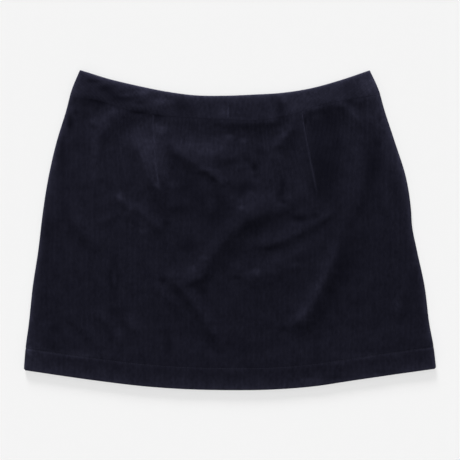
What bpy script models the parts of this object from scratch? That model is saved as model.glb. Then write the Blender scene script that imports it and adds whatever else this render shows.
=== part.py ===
"""A-line mini skirt in needlecord, laid flat on a table with its back uppermost.

Frame: +X runs across the skirt, +Y from the hem to the waist and +Z up from the table. The origin is
the middle of the underside of the skirt's box. Sizes are in millimetres until a mesh is made.
Every piece of cloth is a closed wall: a grid of points on its outer face, the same grid moved in by
the cloth's thickness, and a rim round the edge that joins the two.
"""

import math
from collections import namedtuple

import bpy
import numpy as np

# ------------------------------------------------------------------------------- driving sizes
MM = 0.001
WAIST = 400.0             # across the waist corners
LENGTH = 442.3            # from the level of the waist corners to the lowest point of the hem
CLOTH = 1.4               # one layer of needlecord
BAND_CLOTH = 2.6          # waistband: two layers and the interfacing between them
SEAM_GAP = 0.3            # between pieces that are sewn or lie together
HEM_DEPTH = 30.0          # cloth turned up inside the hem
SIDE_ROLL = 2.0           # outer radius where the back turns down over a side seam
SIDE_ALLOWANCE = 1.3      # height that the pressed-open seam allowances add at the sides
FRONT_DIP = 5.0           # how much lower the front waist edge runs at its middle
CENTRE_SEAM = 0.5135      # share of the width at which the two halves of the back waistband meet
DART_WIDTH = 3.2          # over which the cloth steps up to a dart's line
DART_ALLOWANCE = 1.0      # height that the cloth folded inside a dart adds to the right of its line
BAND_ROUND = 0.9          # rounding of the waistband's folded top edge
ZIP_LENGTH = 205.0        # drop of the concealed zip's lower end
ZIP_WIDTH = 10.0
ZIP_TAPE = 0.8            # thickness of the tape
ZIP_LEAN = 0.25           # the tape's rows lie across the slanting side seam
ZIP_INSET = SIDE_ROLL + 0.4
SLIDER_HEIGHT = 2.2
SLIDER_END = 17.0         # drop at which the slider ends and the tape begins
ROW_STEP = 11.5           # spacing of the back's grid along the skirt and across it
COLUMN_STEP = 13.5
FLAT_STEP = 30.0          # the same for the front, which lies flat

FRONT_TOP = CLOTH                                    # upper faces of the layers that lie below
FRONT_HEM_TOP = 2 * CLOTH + SEAM_GAP
HEM_FOLD = CLOTH + SEAM_GAP / 2                      # outer radius of the fold at the hem
BODY_REST = FRONT_TOP + SEAM_GAP                     # lowest level of the back's inner face
HEM_REST = FRONT_HEM_TOP + 2 * SEAM_GAP + CLOTH
SEAM_REST = BAND_CLOTH + 2 * SEAM_GAP
BAND_REST = BAND_CLOTH + SEAM_GAP
SEAM_RISE = BAND_REST + BAND_CLOTH - SEAM_REST - CLOTH   # brings the panel's edge level with the band
ZIP_LIFT = ZIP_TAPE + SEAM_GAP                       # room for the tape at the left side seam
SLIDER_LIFT = SLIDER_HEIGHT + SEAM_GAP               # and for the slider at its top

# ------------------------------------------------------------------------------- outline
# Half widths at levels below the waist corners.
Section = namedtuple("Section", "drop left right")
SECTIONS = (
    Section(0, 207.0, 193.0),
    Section(25, 217.5, 204.6),
    Section(58, 227.2, 214.7),
    Section(99, 239.8, 228.2),
    Section(149, 251.3, 243.8),
    Section(190, 258.0, 250.3),
    Section(216, 261.4, 252.1),
    Section(249, 265.4, 258.7),
    Section(299, 273.0, 269.4),
    Section(348, 278.2, 275.5),
    Section(385, 282.7, 281.8),
    Section(414, 285.0, 285.0),
)

# How far below the waist corners the three cross lines run, by share of the width from the left.
Station = namedtuple("Station", "share waist seam hem")
STATIONS = (
    Station(0.0, 0.0, 37.4, 414.6),
    Station(0.1, 12.0, 43.9, 423.1),
    Station(0.2, 21.5, 56.8, 430.9),
    Station(0.3, 29.5, 63.4, 437.4),
    Station(0.4, 34.6, 66.1, 441.1),
    Station(0.5, 35.1, 68.2, 442.3),
    Station(0.6, 33.5, 69.5, 441.5),
    Station(0.7, 31.0, 63.0, 437.3),
    Station(0.8, 24.6, 49.1, 428.9),
    Station(0.9, 13.5, 40.9, 420.6),
    Station(1.0, 0.0, 34.2, 412.6),
)

# Darts of the back, by share of the width at the waist seam and at the tip, and the tip's share of
# the way from the waist seam to the hem.
Dart = namedtuple("Dart", "name top_share tip_share tip_part")
DARTS = (
    Dart("left", 0.271, 0.309, 0.25),
    Dart("right", 0.749, 0.751, 0.30),
)

# Folds of the back. Each crest runs through three places (x, y) and falls away over its own width on
# the left and on the right of that direction. It dies away at both ends over a share of its length,
# the taper.
Fold = namedtuple("Fold", "name start middle end height left_width right_width taper")
FOLDS = (
    Fold("left hip roll", (-200, 106), (-174, 142), (-130, 171), 3.9, 14, 14, 0.42),
    Fold("left dart bulge", (-133, 126), (-119, 90), (-80, -4), 6.3, 22, 11, 0.34),
    Fold("roll under the waistband", (-106, 130), (-60, 100), (-10, 76), 5.0, 20, 13, 0.42),
    Fold("middle drape", (-36, -84), (12, 0), (94, 29), 4.4, 22, 16, 0.28),
    Fold("middle drape tail", (-106, -42), (-54, -65), (-10, -20), 4.6, 16, 12, 0.38),
    Fold("low left fold", (-84, -66), (-50, -103), (0, -184), 4.8, 11, 13, 0.28),
    Fold("right middle ripple", (12, -26), (80, -12), (146, 22), 3.2, 12, 11, 0.34),
    Fold("low ripple", (8, -74), (66, -50), (140, -2), 3.8, 12, 22, 0.34),
    Fold("long right fold", (86, -140), (123, -88), (160, 28), 6.8, 12, 17, 0.24),
    Fold("long right fold upper", (154, 0), (183, 62), (190, 150), 3.3, 17, 14, 0.42),
    Fold("left slanting crease", (-166, 54), (-135, 27), (-90, -8), 3.1, 12, 15, 0.30),
    Fold("outer left crease", (-232, 32), (-208, 2), (-182, -42), 3.5, 15, 11, 0.42),
    Fold("right dart crease", (52, 104), (75, 128), (96, 154), 3.4, 12, 15, 0.34),
    Fold("right dart ridge", (98, 166), (111, 100), (124, 20), 3.0, 32, 12, 0.42),
    Fold("seam ridge left", (-172, 186), (-128, 171), (-84, 163), 2.4, 13, 11, 0.40),
    Fold("seam ridge middle", (-52, 154), (28, 150), (94, 160), 2.6, 15, 12, 0.34),
    Fold("seam ridge right", (86, 163), (128, 172), (182, 186), 2.0, 14, 14, 0.36),
    Fold("seam ridge at the left side", (-232, 188), (-192, 186), (-152, 180), 1.6, 12, 11, 0.36),
)

# Broad swells of the back, where the hips' fullness lies.
Swell = namedtuple("Swell", "name centre half_width half_length height")
SWELLS = (
    Swell("middle", (-8, 40), 150, 130, 3.5),
    Swell("left hip", (-150, 90), 70, 90, 1.5),
    Swell("right hip", (160, 60), 70, 110, 1.5),
)

# Slices across the zip's slider and tab: heights at its rim, shoulder and middle.
Slice = namedtuple("Slice", "drop rim shoulder crown")
SLIDER = (
    Slice(4.0, 0.9, 1.5, 1.5),
    Slice(5.0, 1.4, SLIDER_HEIGHT, SLIDER_HEIGHT),
    Slice(9.0, 1.4, SLIDER_HEIGHT, SLIDER_HEIGHT),
    Slice(13.0, 1.2, 1.8, SLIDER_HEIGHT),
    Slice(SLIDER_END - SEAM_GAP, 0.9, 1.2, 1.4),
)


def smooth_curve(places, values):
    """Return a function that reads a cubic curve through the given values."""
    places = np.asarray(places, float)
    values = np.asarray(values, float)
    slopes = np.gradient(values, places)

    def read(at):
        at = np.clip(at, places[0], places[-1])
        index = np.clip(np.searchsorted(places, at, side="right") - 1, 0, len(places) - 2)
        span = places[index + 1] - places[index]
        t = (at - places[index]) / span
        start = values[index] * (1 + 2 * t) * (1 - t) ** 2
        end = values[index + 1] * (3 - 2 * t) * t ** 2
        lean = span * t * (1 - t) * (slopes[index] * (1 - t) - slopes[index + 1] * t)
        return start + end + lean

    return read


def column_curve(rows, key, value):
    """Read one named column of a table against another."""
    return smooth_curve([getattr(row, key) for row in rows], [getattr(row, value) for row in rows])


LEFT_EDGE = column_curve(SECTIONS, "drop", "left")
RIGHT_EDGE = column_curve(SECTIONS, "drop", "right")
WAIST_LINE = column_curve(STATIONS, "share", "waist")
SEAM_LINE = column_curve(STATIONS, "share", "seam")
HEM_LINE = column_curve(STATIONS, "share", "hem")


def mix(start, end, part):
    return start + (end - start) * part


def ease(start, end, at):
    """0 before start, 1 after end, and a smooth step between."""
    t = np.clip((np.asarray(at, float) - start) / (end - start), 0.0, 1.0)
    return t * t * (3 - 2 * t)


def dipped(line):
    """The same cross line on the front, which runs lower in the middle."""
    return lambda share: line(share) + 4 * FRONT_DIP * share * (1 - share)


def row_edges(top_line, low_line, part):
    """x of the left and right edges of the row at this part of the way down."""
    left_drop = mix(top_line(0.0), low_line(0.0), part)
    right_drop = mix(top_line(1.0), low_line(1.0), part)
    return -LEFT_EDGE(left_drop), RIGHT_EDGE(right_drop)


# ------------------------------------------------------------------------------- folds
def crest_distance(fold, x, y):
    """Signed distance from a fold's crest (left is positive) and the share of its length."""
    start, middle, end = (np.array(place, float) for place in (fold.start, fold.middle, fold.end))
    pull = 2 * middle - (start + end) / 2
    t = np.linspace(0.0, 1.0, 25)[:, None]
    crest = (1 - t) ** 2 * start + 2 * t * (1 - t) * pull + t ** 2 * end
    best = np.full(x.shape, np.inf)
    side = np.zeros(x.shape)
    along = np.zeros(x.shape)
    for step in range(len(crest) - 1):
        run = crest[step + 1] - crest[step]
        dx, dy = x - crest[step][0], y - crest[step][1]
        part = np.clip((dx * run[0] + dy * run[1]) / (run @ run), 0.0, 1.0)
        distance = np.hypot(dx - part * run[0], dy - part * run[1])
        nearer = distance < best
        best = np.where(nearer, distance, best)
        side = np.where(nearer, np.sign(run[0] * dy - run[1] * dx), side)
        along = np.where(nearer, (step + part) / (len(crest) - 1), along)
    return best * side, along


def fold_height(x, y):
    """How far the folds and swells lift the back above what it rests on."""
    height = np.zeros(x.shape)
    for swell in SWELLS:
        across = (x - swell.centre[0]) / swell.half_width
        along = (y - swell.centre[1]) / swell.half_length
        height += swell.height * (1 - ease(0.0, 1.0, np.hypot(across, along)))
    for fold in FOLDS:
        distance, along = crest_distance(fold, x, y)
        width = np.where(distance > 0, fold.left_width, fold.right_width)
        taper = ease(0.0, fold.taper, along) * ease(0.0, fold.taper, 1 - along)
        height += fold.height * taper * np.exp(-(distance / width) ** 2)
    return height


def zip_room(x, drop):
    """Extra height near the left waist corner, where the zip's tape and slider lie inside."""
    inset = x + LEFT_EDGE(drop)
    tape = ZIP_LIFT * (1 - ease(16, 45, inset)) * (1 - ease(ZIP_LENGTH, ZIP_LENGTH + 25, drop))
    slider = (SLIDER_LIFT - ZIP_LIFT) * (1 - ease(16, 45, inset)) * (1 - ease(26, 60, drop))
    return tape + slider


# ------------------------------------------------------------------------------- walls
def wall_normals(outer):
    """Normals of a grid whose columns run to +X and whose rows run down the skirt."""

    def tangents(grid):
        steps = np.diff(grid, axis=0)
        steps = steps / np.linalg.norm(steps, axis=2, keepdims=True)
        before = np.concatenate([steps[:1], steps])
        after = np.concatenate([steps, steps[-1:]])
        return before + after

    down = tangents(outer)
    across = tangents(outer.transpose(1, 0, 2)).transpose(1, 0, 2)
    normals = np.cross(down, across)
    return normals / np.linalg.norm(normals, axis=2, keepdims=True)


def close_wall(outer, inner, used):
    """Vertices and triangles of the closed body between two grids, over the cells in use."""
    rows, columns = outer.shape[:2]
    vertices, triangles, number = [], [], {}

    def vertex(layer, i, j):
        key = (layer, i, j)
        if key not in number:
            number[key] = len(vertices)
            vertices.append((outer if layer == "outer" else inner)[i, j])
        return number[key]

    def cell_used(i, j):
        return 0 <= i < rows - 1 and 0 <= j < columns - 1 and used[i, j]

    for i in range(rows - 1):
        for j in range(columns - 1):
            if not used[i, j]:
                continue
            corners = [(i, j), (i + 1, j), (i + 1, j + 1), (i, j + 1)]
            down = np.linalg.norm(outer[i, j] - outer[i + 1, j + 1])
            up = np.linalg.norm(outer[i + 1, j] - outer[i, j + 1])
            if up < down:
                corners = corners[1:] + corners[:1]
            top = [vertex("outer", *corner) for corner in corners]
            low = [vertex("inner", *corner) for corner in corners]
            triangles += [(top[0], top[1], top[2]), (top[0], top[2], top[3])]
            triangles += [(low[0], low[2], low[1]), (low[0], low[3], low[2])]
            rim = (
                (cell_used(i, j - 1), (i, j), (i + 1, j)),
                (cell_used(i + 1, j), (i + 1, j), (i + 1, j + 1)),
                (cell_used(i, j + 1), (i + 1, j + 1), (i, j + 1)),
                (cell_used(i - 1, j), (i, j + 1), (i, j)),
            )
            for neighbour, first, second in rim:
                if neighbour:
                    continue
                a, b = vertex("outer", *first), vertex("outer", *second)
                c, d = vertex("inner", *second), vertex("inner", *first)
                triangles += [(b, a, d), (b, d, c)]
    return np.array(vertices), triangles


def add_object(name, vertices, triangles, material):
    """Make a mesh object from millimetre points, with its faces turned outwards."""
    corners = vertices[np.array(triangles)]
    volume = np.einsum("ij,ij->i", corners[:, 0], np.cross(corners[:, 1], corners[:, 2])).sum()
    if volume < 0:
        triangles = [tuple(reversed(triangle)) for triangle in triangles]
    mesh = bpy.data.meshes.new(name)
    mesh.from_pydata((vertices * MM).tolist(), [], triangles)
    mesh.materials.append(material)
    mesh.shade_smooth()
    mesh.set_sharp_from_angle(angle=math.radians(50))
    mesh.update()
    item = bpy.data.objects.new(name, mesh)
    bpy.context.collection.objects.link(item)
    return item


def add_wall(name, outer, inner, material, used=None):
    if used is None:
        used = np.ones((outer.shape[0] - 1, outer.shape[1] - 1), bool)
    return add_object(name, *close_wall(outer, inner, used), material)


def make_material(name, colour, roughness, metallic):
    material = bpy.data.materials.new(name)
    material.use_nodes = True
    shader = material.node_tree.nodes["Principled BSDF"]
    shader.inputs["Base Color"].default_value = (*colour, 1.0)
    shader.inputs["Roughness"].default_value = roughness
    shader.inputs["Metallic"].default_value = metallic
    return material


# ------------------------------------------------------------------------------- panels
def spread(start, end, step):
    """Evenly spaced places from start up to, but not at, end."""
    count = max(1, round(abs(end - start) / step))
    return [mix(start, end, index / count) for index in range(count)]


def dart_shares(part):
    """Share of the width at which each dart's column lies in one row."""
    return [mix(dart.top_share, dart.tip_share, min(part / dart.tip_part, 1.0)) for dart in DARTS]


def back_columns(part, left, right):
    """x of every column of the back in one row, with three columns along each dart."""
    centres = [mix(left, right, share) for share in dart_shares(part)]
    stops = [left + SIDE_ROLL, *centres, right - SIDE_ROLL]
    # The hem is the widest row, and its width settles the number of columns for every row.
    hem_width = 2 * LEFT_EDGE(LENGTH)
    shares = [0.0, *(dart.tip_share for dart in DARTS), 1.0]
    columns = []
    for index, (start, end) in enumerate(zip(stops, stops[1:])):
        count = round((shares[index + 1] - shares[index]) * hem_width / COLUMN_STEP)
        first = start + (DART_WIDTH if index > 0 else 0.0)
        last = end - (DART_WIDTH if index < len(DARTS) else 0.0)
        columns += [mix(first, last, step / count) for step in range(count + 1)]
        if index < len(DARTS):
            columns.append(end)
    shoulder = SIDE_ROLL * (1 - math.sqrt(0.5))
    return np.array([left, left, left + shoulder, *columns, right - shoulder, right, right])


def front_columns(part, left, right):
    """x of every column of the front in one row."""
    inner = np.linspace(left + SIDE_ROLL, right - SIDE_ROLL, round(2 * LEFT_EDGE(LENGTH) / FLAT_STEP))
    return np.array([left, *inner, right])


def panel_plan(part, top_line, columns):
    """x, y and the drop of one row of a panel, and its distances to side, waist seam and hem."""
    left, right = row_edges(top_line, HEM_LINE, part)
    x = columns(part, left, right)
    share = (x - left) / (right - left)
    drop = mix(top_line(share), HEM_LINE(share), part)
    from_side = np.minimum(x - left, right - x)
    return x, LENGTH / 2 - drop, drop, from_side, drop - top_line(share), HEM_LINE(share) - drop


def panel_parts(length, first_steps, step):
    """Parts of the way down at which the rows of a panel lie, the last one at the hem's fold."""
    above_hem = length - HEM_DEPTH
    stops = [*first_steps, *spread(first_steps[-1] + step, above_hem - 18.0, step)]
    stops += spread(above_hem - 18.0, above_hem - 1.0, 6.0)
    stops += [above_hem - 1.0, above_hem + 12.0, length - HEM_FOLD]
    return [stop / length for stop in stops]


def turn_under(outer, top_line, columns, length):
    """Add the hem's fold, and the cloth turned up inside it, below a panel's rows."""
    fold_steps = 4
    last = outer[-1]
    rows = list(outer)
    for step in range(1, fold_steps + 1):
        angle = math.pi * step / fold_steps
        rows.append(last + HEM_FOLD * np.array([0.0, -math.sin(angle), math.cos(angle) - 1]))
    for rise in (HEM_DEPTH / 2, HEM_DEPTH):
        x, y = panel_plan(1 - rise / length, top_line, columns)[:2]
        rows.append(np.column_stack([x, y, rows[-1][:, 2]]))
    return np.array(rows)


def narrow_below(outer, last_row, edge_columns):
    """Cells in use when the rows below last_row leave out some columns at each side."""
    used = np.ones((outer.shape[0] - 1, outer.shape[1] - 1), bool)
    used[last_row:, :edge_columns] = False
    used[last_row:, -edge_columns:] = False
    return used


def dart_lift(part, x, left, right):
    """Height of the cloth folded inside the darts, which is pressed to the right of each line."""
    lift = np.zeros(x.shape)
    for dart, share in zip(DARTS, dart_shares(part)):
        right_of = x - mix(left, right, share)
        across = np.where(right_of > 0, 1 - ease(3, 16, right_of), 1 - ease(0, DART_WIDTH, -right_of))
        lift += DART_ALLOWANCE * across * (1 - ease(0.75, 1.1, part / dart.tip_part))
    return lift


def back_row(part):
    """Outer points of one row of the back, with its sides rolled down to the front."""
    x, y, drop, from_side, from_seam, from_hem = panel_plan(part, SEAM_LINE, back_columns)
    at_seam = (SEAM_REST - BODY_REST) * (1 - ease(6, 34, from_seam))
    at_seam += SEAM_RISE * (1 - ease(0, 13, from_seam))
    at_hem = (HEM_REST - BODY_REST) * (1 - ease(HEM_DEPTH + 1, HEM_DEPTH + 46, from_hem))
    at_side = SIDE_ALLOWANCE * (1 - ease(14, 32, from_side))
    rest = BODY_REST + np.maximum(np.maximum(at_seam, at_hem), at_side)
    fade = ease(4, 30, from_side) * ease(HEM_DEPTH, HEM_DEPTH + 34, from_hem)
    top = rest + CLOTH + fold_height(x, y) * fade + zip_room(x, drop)
    top += dart_lift(part, x, x[0], x[-1])
    for side in (slice(0, 4), slice(None, -5, -1)):
        crown = top[side][3]
        top[side] = (BODY_REST, crown - SIDE_ROLL, crown - SIDE_ROLL * (1 - math.sqrt(0.5)), crown)
    return np.column_stack([x, y, top])


def back_panel(material):
    length = HEM_LINE(0.5) - SEAM_LINE(0.5)
    parts = panel_parts(length, (SEAM_GAP, 2.5, 7.0, 13.0), ROW_STEP)
    outer = turn_under([back_row(part) for part in parts], SEAM_LINE, back_columns, length)
    inner = outer - CLOTH * wall_normals(outer)
    used = narrow_below(outer, len(parts) - 1, 3)
    return add_wall("back_panel", outer, inner, material, used)


def front_row(part, top_line):
    """Outer points of one row of the front, which lies flat with its outer face down."""
    x, y = panel_plan(part, top_line, front_columns)[:2]
    return np.column_stack([x, y, np.zeros(x.shape)])


def front_panel(material):
    """The front is made face up, as the back is, and then turned over."""
    top_line = dipped(SEAM_LINE)
    length = HEM_LINE(0.5) - top_line(0.5)
    parts = panel_parts(length, (SEAM_GAP, FLAT_STEP), FLAT_STEP)
    outer = turn_under([front_row(part, top_line) for part in parts], top_line, front_columns, length)
    inner = outer - CLOTH * wall_normals(outer)
    used = narrow_below(outer, len(parts) - 1, 1)
    turned = np.array([1.0, 1.0, -1.0])
    return add_wall("front_panel", outer * turned, inner * turned, material, used)


# ------------------------------------------------------------------------------- waistband
def seam_shares(top_line, columns):
    """Shares of the width at which a panel's columns meet the waistband."""
    left, right = row_edges(top_line, HEM_LINE, 0.0)
    return np.unique((columns(0.0, left, right) - left) / (right - left))


def band_stations(shares, start, end):
    """Shares of the width at which a waistband has points, with a rounded end at start and end."""
    end_round = 0.4 / WAIST
    between = shares[(shares > start + 2 * end_round) & (shares < end - 2 * end_round)]
    return np.array([start, start + end_round, *between, end - end_round, end])


def band_profile(depth):
    """Distances below the folded top edge, and half the waistband's thickness there."""
    half = BAND_CLOTH / 2
    fold = [(0.0, half - BAND_ROUND), (0.3, half - BAND_ROUND / 2.5), (1.1, half)]
    flat = [(stop, half) for stop in spread(10.0, depth - 0.5, 9.0)]
    return [*fold, *flat, (depth - 0.5, half), (depth, half - 0.3)]


def band(name, share, top_line, low_line, rest, material):
    """A strip of waistband through the given shares of the width. The back's follow its folds."""
    depth = low_line(0.5) - top_line(0.5)
    outer, inner = [], []
    for below, half in band_profile(depth):
        part = below / depth
        left, right = row_edges(top_line, low_line, part)
        x = mix(left, right, share)
        drop = mix(top_line(share), low_line(share), part)
        y = LENGTH / 2 - drop
        middle = np.full(share.shape, rest + BAND_CLOTH / 2)
        if rest > 0:
            fade = ease(4, 30, np.minimum(x - left, right - x)) * ease(0, 16, drop - top_line(share))
            middle += zip_room(x, drop) + fold_height(x, y) * fade
        thick = np.full(share.shape, half)
        thick[[0, -1]] -= min(0.3, half / 2)
        outer.append(np.column_stack([x, y, middle + thick]))
        inner.append(np.column_stack([x, y, middle - thick]))
    add_wall(name, np.array(outer), np.array(inner), material)


def waistbands(material):
    gap = SEAM_GAP / 2 / WAIST
    back = seam_shares(SEAM_LINE, back_columns)
    left = band_stations(back, 0.0, CENTRE_SEAM - gap)
    right = band_stations(back, CENTRE_SEAM + gap, 1.0)
    front = band_stations(seam_shares(dipped(SEAM_LINE), front_columns), 0.0, 1.0)
    band("back_waistband_left", left, WAIST_LINE, SEAM_LINE, BAND_REST, material)
    band("back_waistband_right", right, WAIST_LINE, SEAM_LINE, BAND_REST, material)
    band("front_waistband", front, dipped(WAIST_LINE), dipped(SEAM_LINE), 0.0, material)


# ------------------------------------------------------------------------------- side zip
def strip(name, rows, material):
    """A piece along the left side seam from rows of drop, insets, underside and heights."""
    outer, inner = [], []
    for drop, insets, underside, heights in rows:
        inset = np.array(insets)
        x = inset - LEFT_EDGE(drop)
        y = LENGTH / 2 - drop - inset * ZIP_LEAN
        outer.append(np.column_stack([x, y, underside + np.array(heights)]))
        inner.append(np.column_stack([x, y, np.full(x.shape, underside)]))
    return add_wall(name, np.array(outer), np.array(inner), material)


def layer_below(drop):
    """Top of the front layers along the left side seam, with the step at the waist seam eased."""
    band_end = float(SEAM_LINE(0.0)) + 6
    return mix(BAND_CLOTH, FRONT_TOP, float(ease(band_end, band_end + 16, drop))) + SEAM_GAP


def zip_tape(material):
    """The closed tape, from just below the slider down the side seam."""
    insets = [ZIP_INSET, ZIP_INSET + ZIP_WIDTH / 2, ZIP_INSET + ZIP_WIDTH]
    heights = [ZIP_TAPE] * len(insets)
    drops = [*spread(SLIDER_END, 40.0, 8.0), *spread(40.0, 64.0, 4.0), *spread(64.0, ZIP_LENGTH, 14.0)]
    rows = [(drop, insets, layer_below(drop), heights) for drop in [*drops, ZIP_LENGTH]]
    strip("side_zip_tape", rows, material)


def zip_slider(material):
    """The slider at the top of the tape, with its tab pressed flat along it."""
    middle = ZIP_INSET + 3.0
    insets = [middle - 2.6, middle - 1.8, middle, middle + 1.8, middle + 2.6]
    rows = []
    for slice_ in SLIDER:
        heights = [slice_.rim, slice_.shoulder, slice_.crown, slice_.shoulder, slice_.rim]
        rows.append((slice_.drop, insets, BAND_REST, heights))
    strip("side_zip_slider", rows, material)


def main():
    for item in list(bpy.data.objects):
        bpy.data.objects.remove(item, do_unlink=True)
    cord = make_material("navy_needlecord", (0.0100, 0.0100, 0.0165), 0.92, 0.0)
    band_cord = make_material("navy_needlecord_band", (0.0110, 0.0110, 0.0175), 0.92, 0.0)
    tape = make_material("navy_zip_tape", (0.012, 0.012, 0.020), 0.85, 0.0)
    enamel = make_material("navy_enamel", (0.015, 0.015, 0.025), 0.35, 0.4)
    front_panel(cord)
    back_panel(cord)
    waistbands(band_cord)
    zip_tape(tape)
    zip_slider(enamel)


main()
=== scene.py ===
"""Looks of an A-line mini skirt in needlecord, laid flat with its back uppermost.

+X runs across the skirt, +Y from the hem to the waist and +Z up from the table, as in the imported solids.
Cloth is worked out in millimetres and turned into metres when its mesh is made. Each panel is a closed
wall: a grid of points on its outer face, a second grid moved in by its thickness, and a rim. Each waistband
is a closed section that is drawn along its length.
"""
import math
from collections import namedtuple

import bpy
import numpy as np
from bpy.props import FloatProperty, FloatVectorProperty, PointerProperty
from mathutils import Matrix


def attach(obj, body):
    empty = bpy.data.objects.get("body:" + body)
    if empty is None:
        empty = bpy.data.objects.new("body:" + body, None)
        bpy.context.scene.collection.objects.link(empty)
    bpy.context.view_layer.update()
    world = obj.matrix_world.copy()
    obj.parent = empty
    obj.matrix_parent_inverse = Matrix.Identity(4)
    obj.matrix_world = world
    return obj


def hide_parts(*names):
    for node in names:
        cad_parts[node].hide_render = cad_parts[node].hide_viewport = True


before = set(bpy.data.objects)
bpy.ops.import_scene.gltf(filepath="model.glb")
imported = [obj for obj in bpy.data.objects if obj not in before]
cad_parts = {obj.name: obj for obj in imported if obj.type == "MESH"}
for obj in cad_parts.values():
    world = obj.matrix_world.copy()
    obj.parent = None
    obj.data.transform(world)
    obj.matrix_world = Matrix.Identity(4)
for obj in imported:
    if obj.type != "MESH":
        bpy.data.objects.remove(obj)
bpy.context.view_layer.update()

bl_info = {
    "name": "Needlecord skirt",
    "version": (1, 0, 0),
    "blender": (4, 5, 0),
    "location": "3D View > Sidebar > Skirt",
    "description": "Cloth, sewing, zip and stage of an A-line needlecord skirt",
    "category": "Object",
}

# ------------------------------------------------------------- sizes of the solids, in millimetres
MM = 0.001
LENGTH = 442.3            # from the waist's corners to the lowest point of the hem
CLOTH = 1.4               # one layer
BAND_CLOTH = 2.6          # two layers and the interfacing between them
SEAM_GAP = 0.3            # between layers, and between pieces that are sewn together
HEM_DEPTH = 30.0
SIDE_ALLOWANCE = 1.3      # how far the seam allowances lift the back along its sides
FRONT_DIP = 5.0           # how much lower the front's waist runs in the middle
CENTRE_SEAM = 0.5135      # the waistband's centre seam, in shares of the width
DART_ALLOWANCE = 1.0      # height of the cloth folded inside a dart
ZIP_LENGTH = 205.0        # down to the end of the tape
ZIP_WIDTH = 10.0
ZIP_TAPE = 0.8
ZIP_LEAN = 0.25           # fall of the tape's rows inwards, which keeps them about square to the seam
ZIP_INSET = 2.4           # from the skirt's edge to the tape
SLIDER_HEIGHT = 2.2
SLIDER_END = 17.0         # down to the end of the slider
FRONT_TOP = CLOTH
FRONT_HEM_TOP = 2 * CLOTH + SEAM_GAP
HEM_FOLD = CLOTH + SEAM_GAP / 2           # outer radius of the hem's fold
# Height of the back's underside: over the front, over both hems, and at the waist seam.
BODY_REST = FRONT_TOP + SEAM_GAP
HEM_REST = FRONT_HEM_TOP + 2 * SEAM_GAP + CLOTH
SEAM_REST = BAND_CLOTH + 2 * SEAM_GAP
BAND_REST = BAND_CLOTH + SEAM_GAP         # and of the back waistband's
ZIP_LIFT = ZIP_TAPE + SEAM_GAP
SLIDER_LIFT = SLIDER_HEIGHT + SEAM_GAP

# ------------------------------------------------------------- sizes of the finer cloth, in millimetres
GRID_STEP = 2.5           # spacing of the back's points
FRONT_STEP = 6.0          # and of the front's
SEAM_TOUCH = 0.04         # from the waist seam to the cloth that meets in it
SEAM_ROUND = 0.05         # how far a panel's edge rolls into the waist seam
SEAM_ROUND_WIDTH = 1.4
SIDE_ROLL = 1.7           # outer radius where a panel turns down at a side seam
SIDE_CURL = 0.9           # and where its edge turns into the seam
FOLD_TURN = 8             # steps round the hem's fold
FRONT_GROOVE = 0.3        # depth of the line that the hem's stitches pull in
BACK_GROOVE = (0.105, 0.375)              # on the back, in the middle and at the sides
GROOVE_WIDTH = 1.8
THREAD_SHOWS = 0.05       # how far the front's thread stands out of its groove
CREST_STEPS = 24          # straight steps along each fold's crest
CREST_POWER = 1.7         # 2 makes round crests, and less makes them sharper
FOLD_SOFTNESS = 0.6       # how gently a fold leaves the cloth beneath
RIB_POINTS = 4            # points across each rib of the waistbands
RIB_SHAPE = 0.6           # 1 makes round ribs, and less makes them flatter on top
BAND_EDGE = 4.0           # over which a waistband thins to its folded edge
BAND_END = 0.2            # and how much it thins at its ends
DART_REACH = 60.0         # how far from a dart the ribs still lean towards it

# Rows of points: below the waist seam, to each side of the hem's stitches, and up the cloth inside the hem.
SEAM_ROWS = (SEAM_TOUCH, 0.8, 1.6, 2.8, 4.5, 6.8)
STITCH_ROWS = (-3.6, -2.2, -1.2, -0.5, 0.0, 0.5, 1.2, 2.2, 3.6)
TURN_UP_ROWS = (4.0, 9.0, 15.0, 21.0, 27.0, HEM_DEPTH)
STITCH_ROOM = 5.0         # left free of other rows before the stitches

# Start and end of each stretch over which the back comes down from what lies inside it.
UNDER_BAND = (0, 13)      # the step under the waistband, from the waist seam
BELOW_SEAM = (6, 34)
ABOVE_HEM = (1, 46)       # from the hem's stitches
BESIDE_SIDE = (14, 32)
BESIDE_ZIP = (16, 45)
BELOW_ZIP = (0, 25)
BELOW_SLIDER = (26, 60)
LEFT_OF_DART = (0, 3.2)
RIGHT_OF_DART = (3, 16)
DART_END = (0.75, 1.1)    # in shares of the dart's length
# And over which the folds grow from nothing.
FOLDS_FROM_SIDE = (4, 30)
FOLDS_FROM_HEM = (0, 34)
FOLDS_FROM_WAIST = (0, 16)

# ------------------------------------------------------------- painted light and painted shade on the pile: how much lighter or darker it looks
EDGE_HIGHLIGHT = 3.4           # painted highlight along the skirt's edges
EDGE_HIGHLIGHT_WIDTH = 3.5     # over how far that dies away
HEM_ROUND = 2.4           # how far the hem's fold hides the brightest of the painted edge highlight
STITCH_HIGHLIGHT = (0.25, 0.5)                 # painted highlight along the hem's stitches, in the middle and at the sides
STITCH_HIGHLIGHT_WIDTH = 2.8
STITCH_HIGHLIGHT_SHIFT = 0.8   # towards the hem
HEM_PAINTED_LIGHT = 0.75           # painted light over the whole hem
HIP_HIGHLIGHT = 1.0            # painted highlight over the hip on +X, strongest at its side
HIP_HIGHLIGHT_WIDTH = 24
HIP_HIGHLIGHT_START = (20, 100)                # y between which it grows
DART_HIGHLIGHT_WIDTH = 2.4     # of the painted highlight, to each side of a dart's fold
DART_HIGHLIGHT_SHIFT = 0.8     # how far that fold lies left of the dart's line
DART_HIGHLIGHT_END = (0.85, 1.1)               # in shares of the dart's length
SEAM_SHADE = 0.4          # painted shade along the waist seam
SEAM_SHADE_WIDTH = 5.0
BAND_SHADE = 0.2          # and on a waistband's side of it
BAND_SHADE_WIDTH = 1.6

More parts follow.
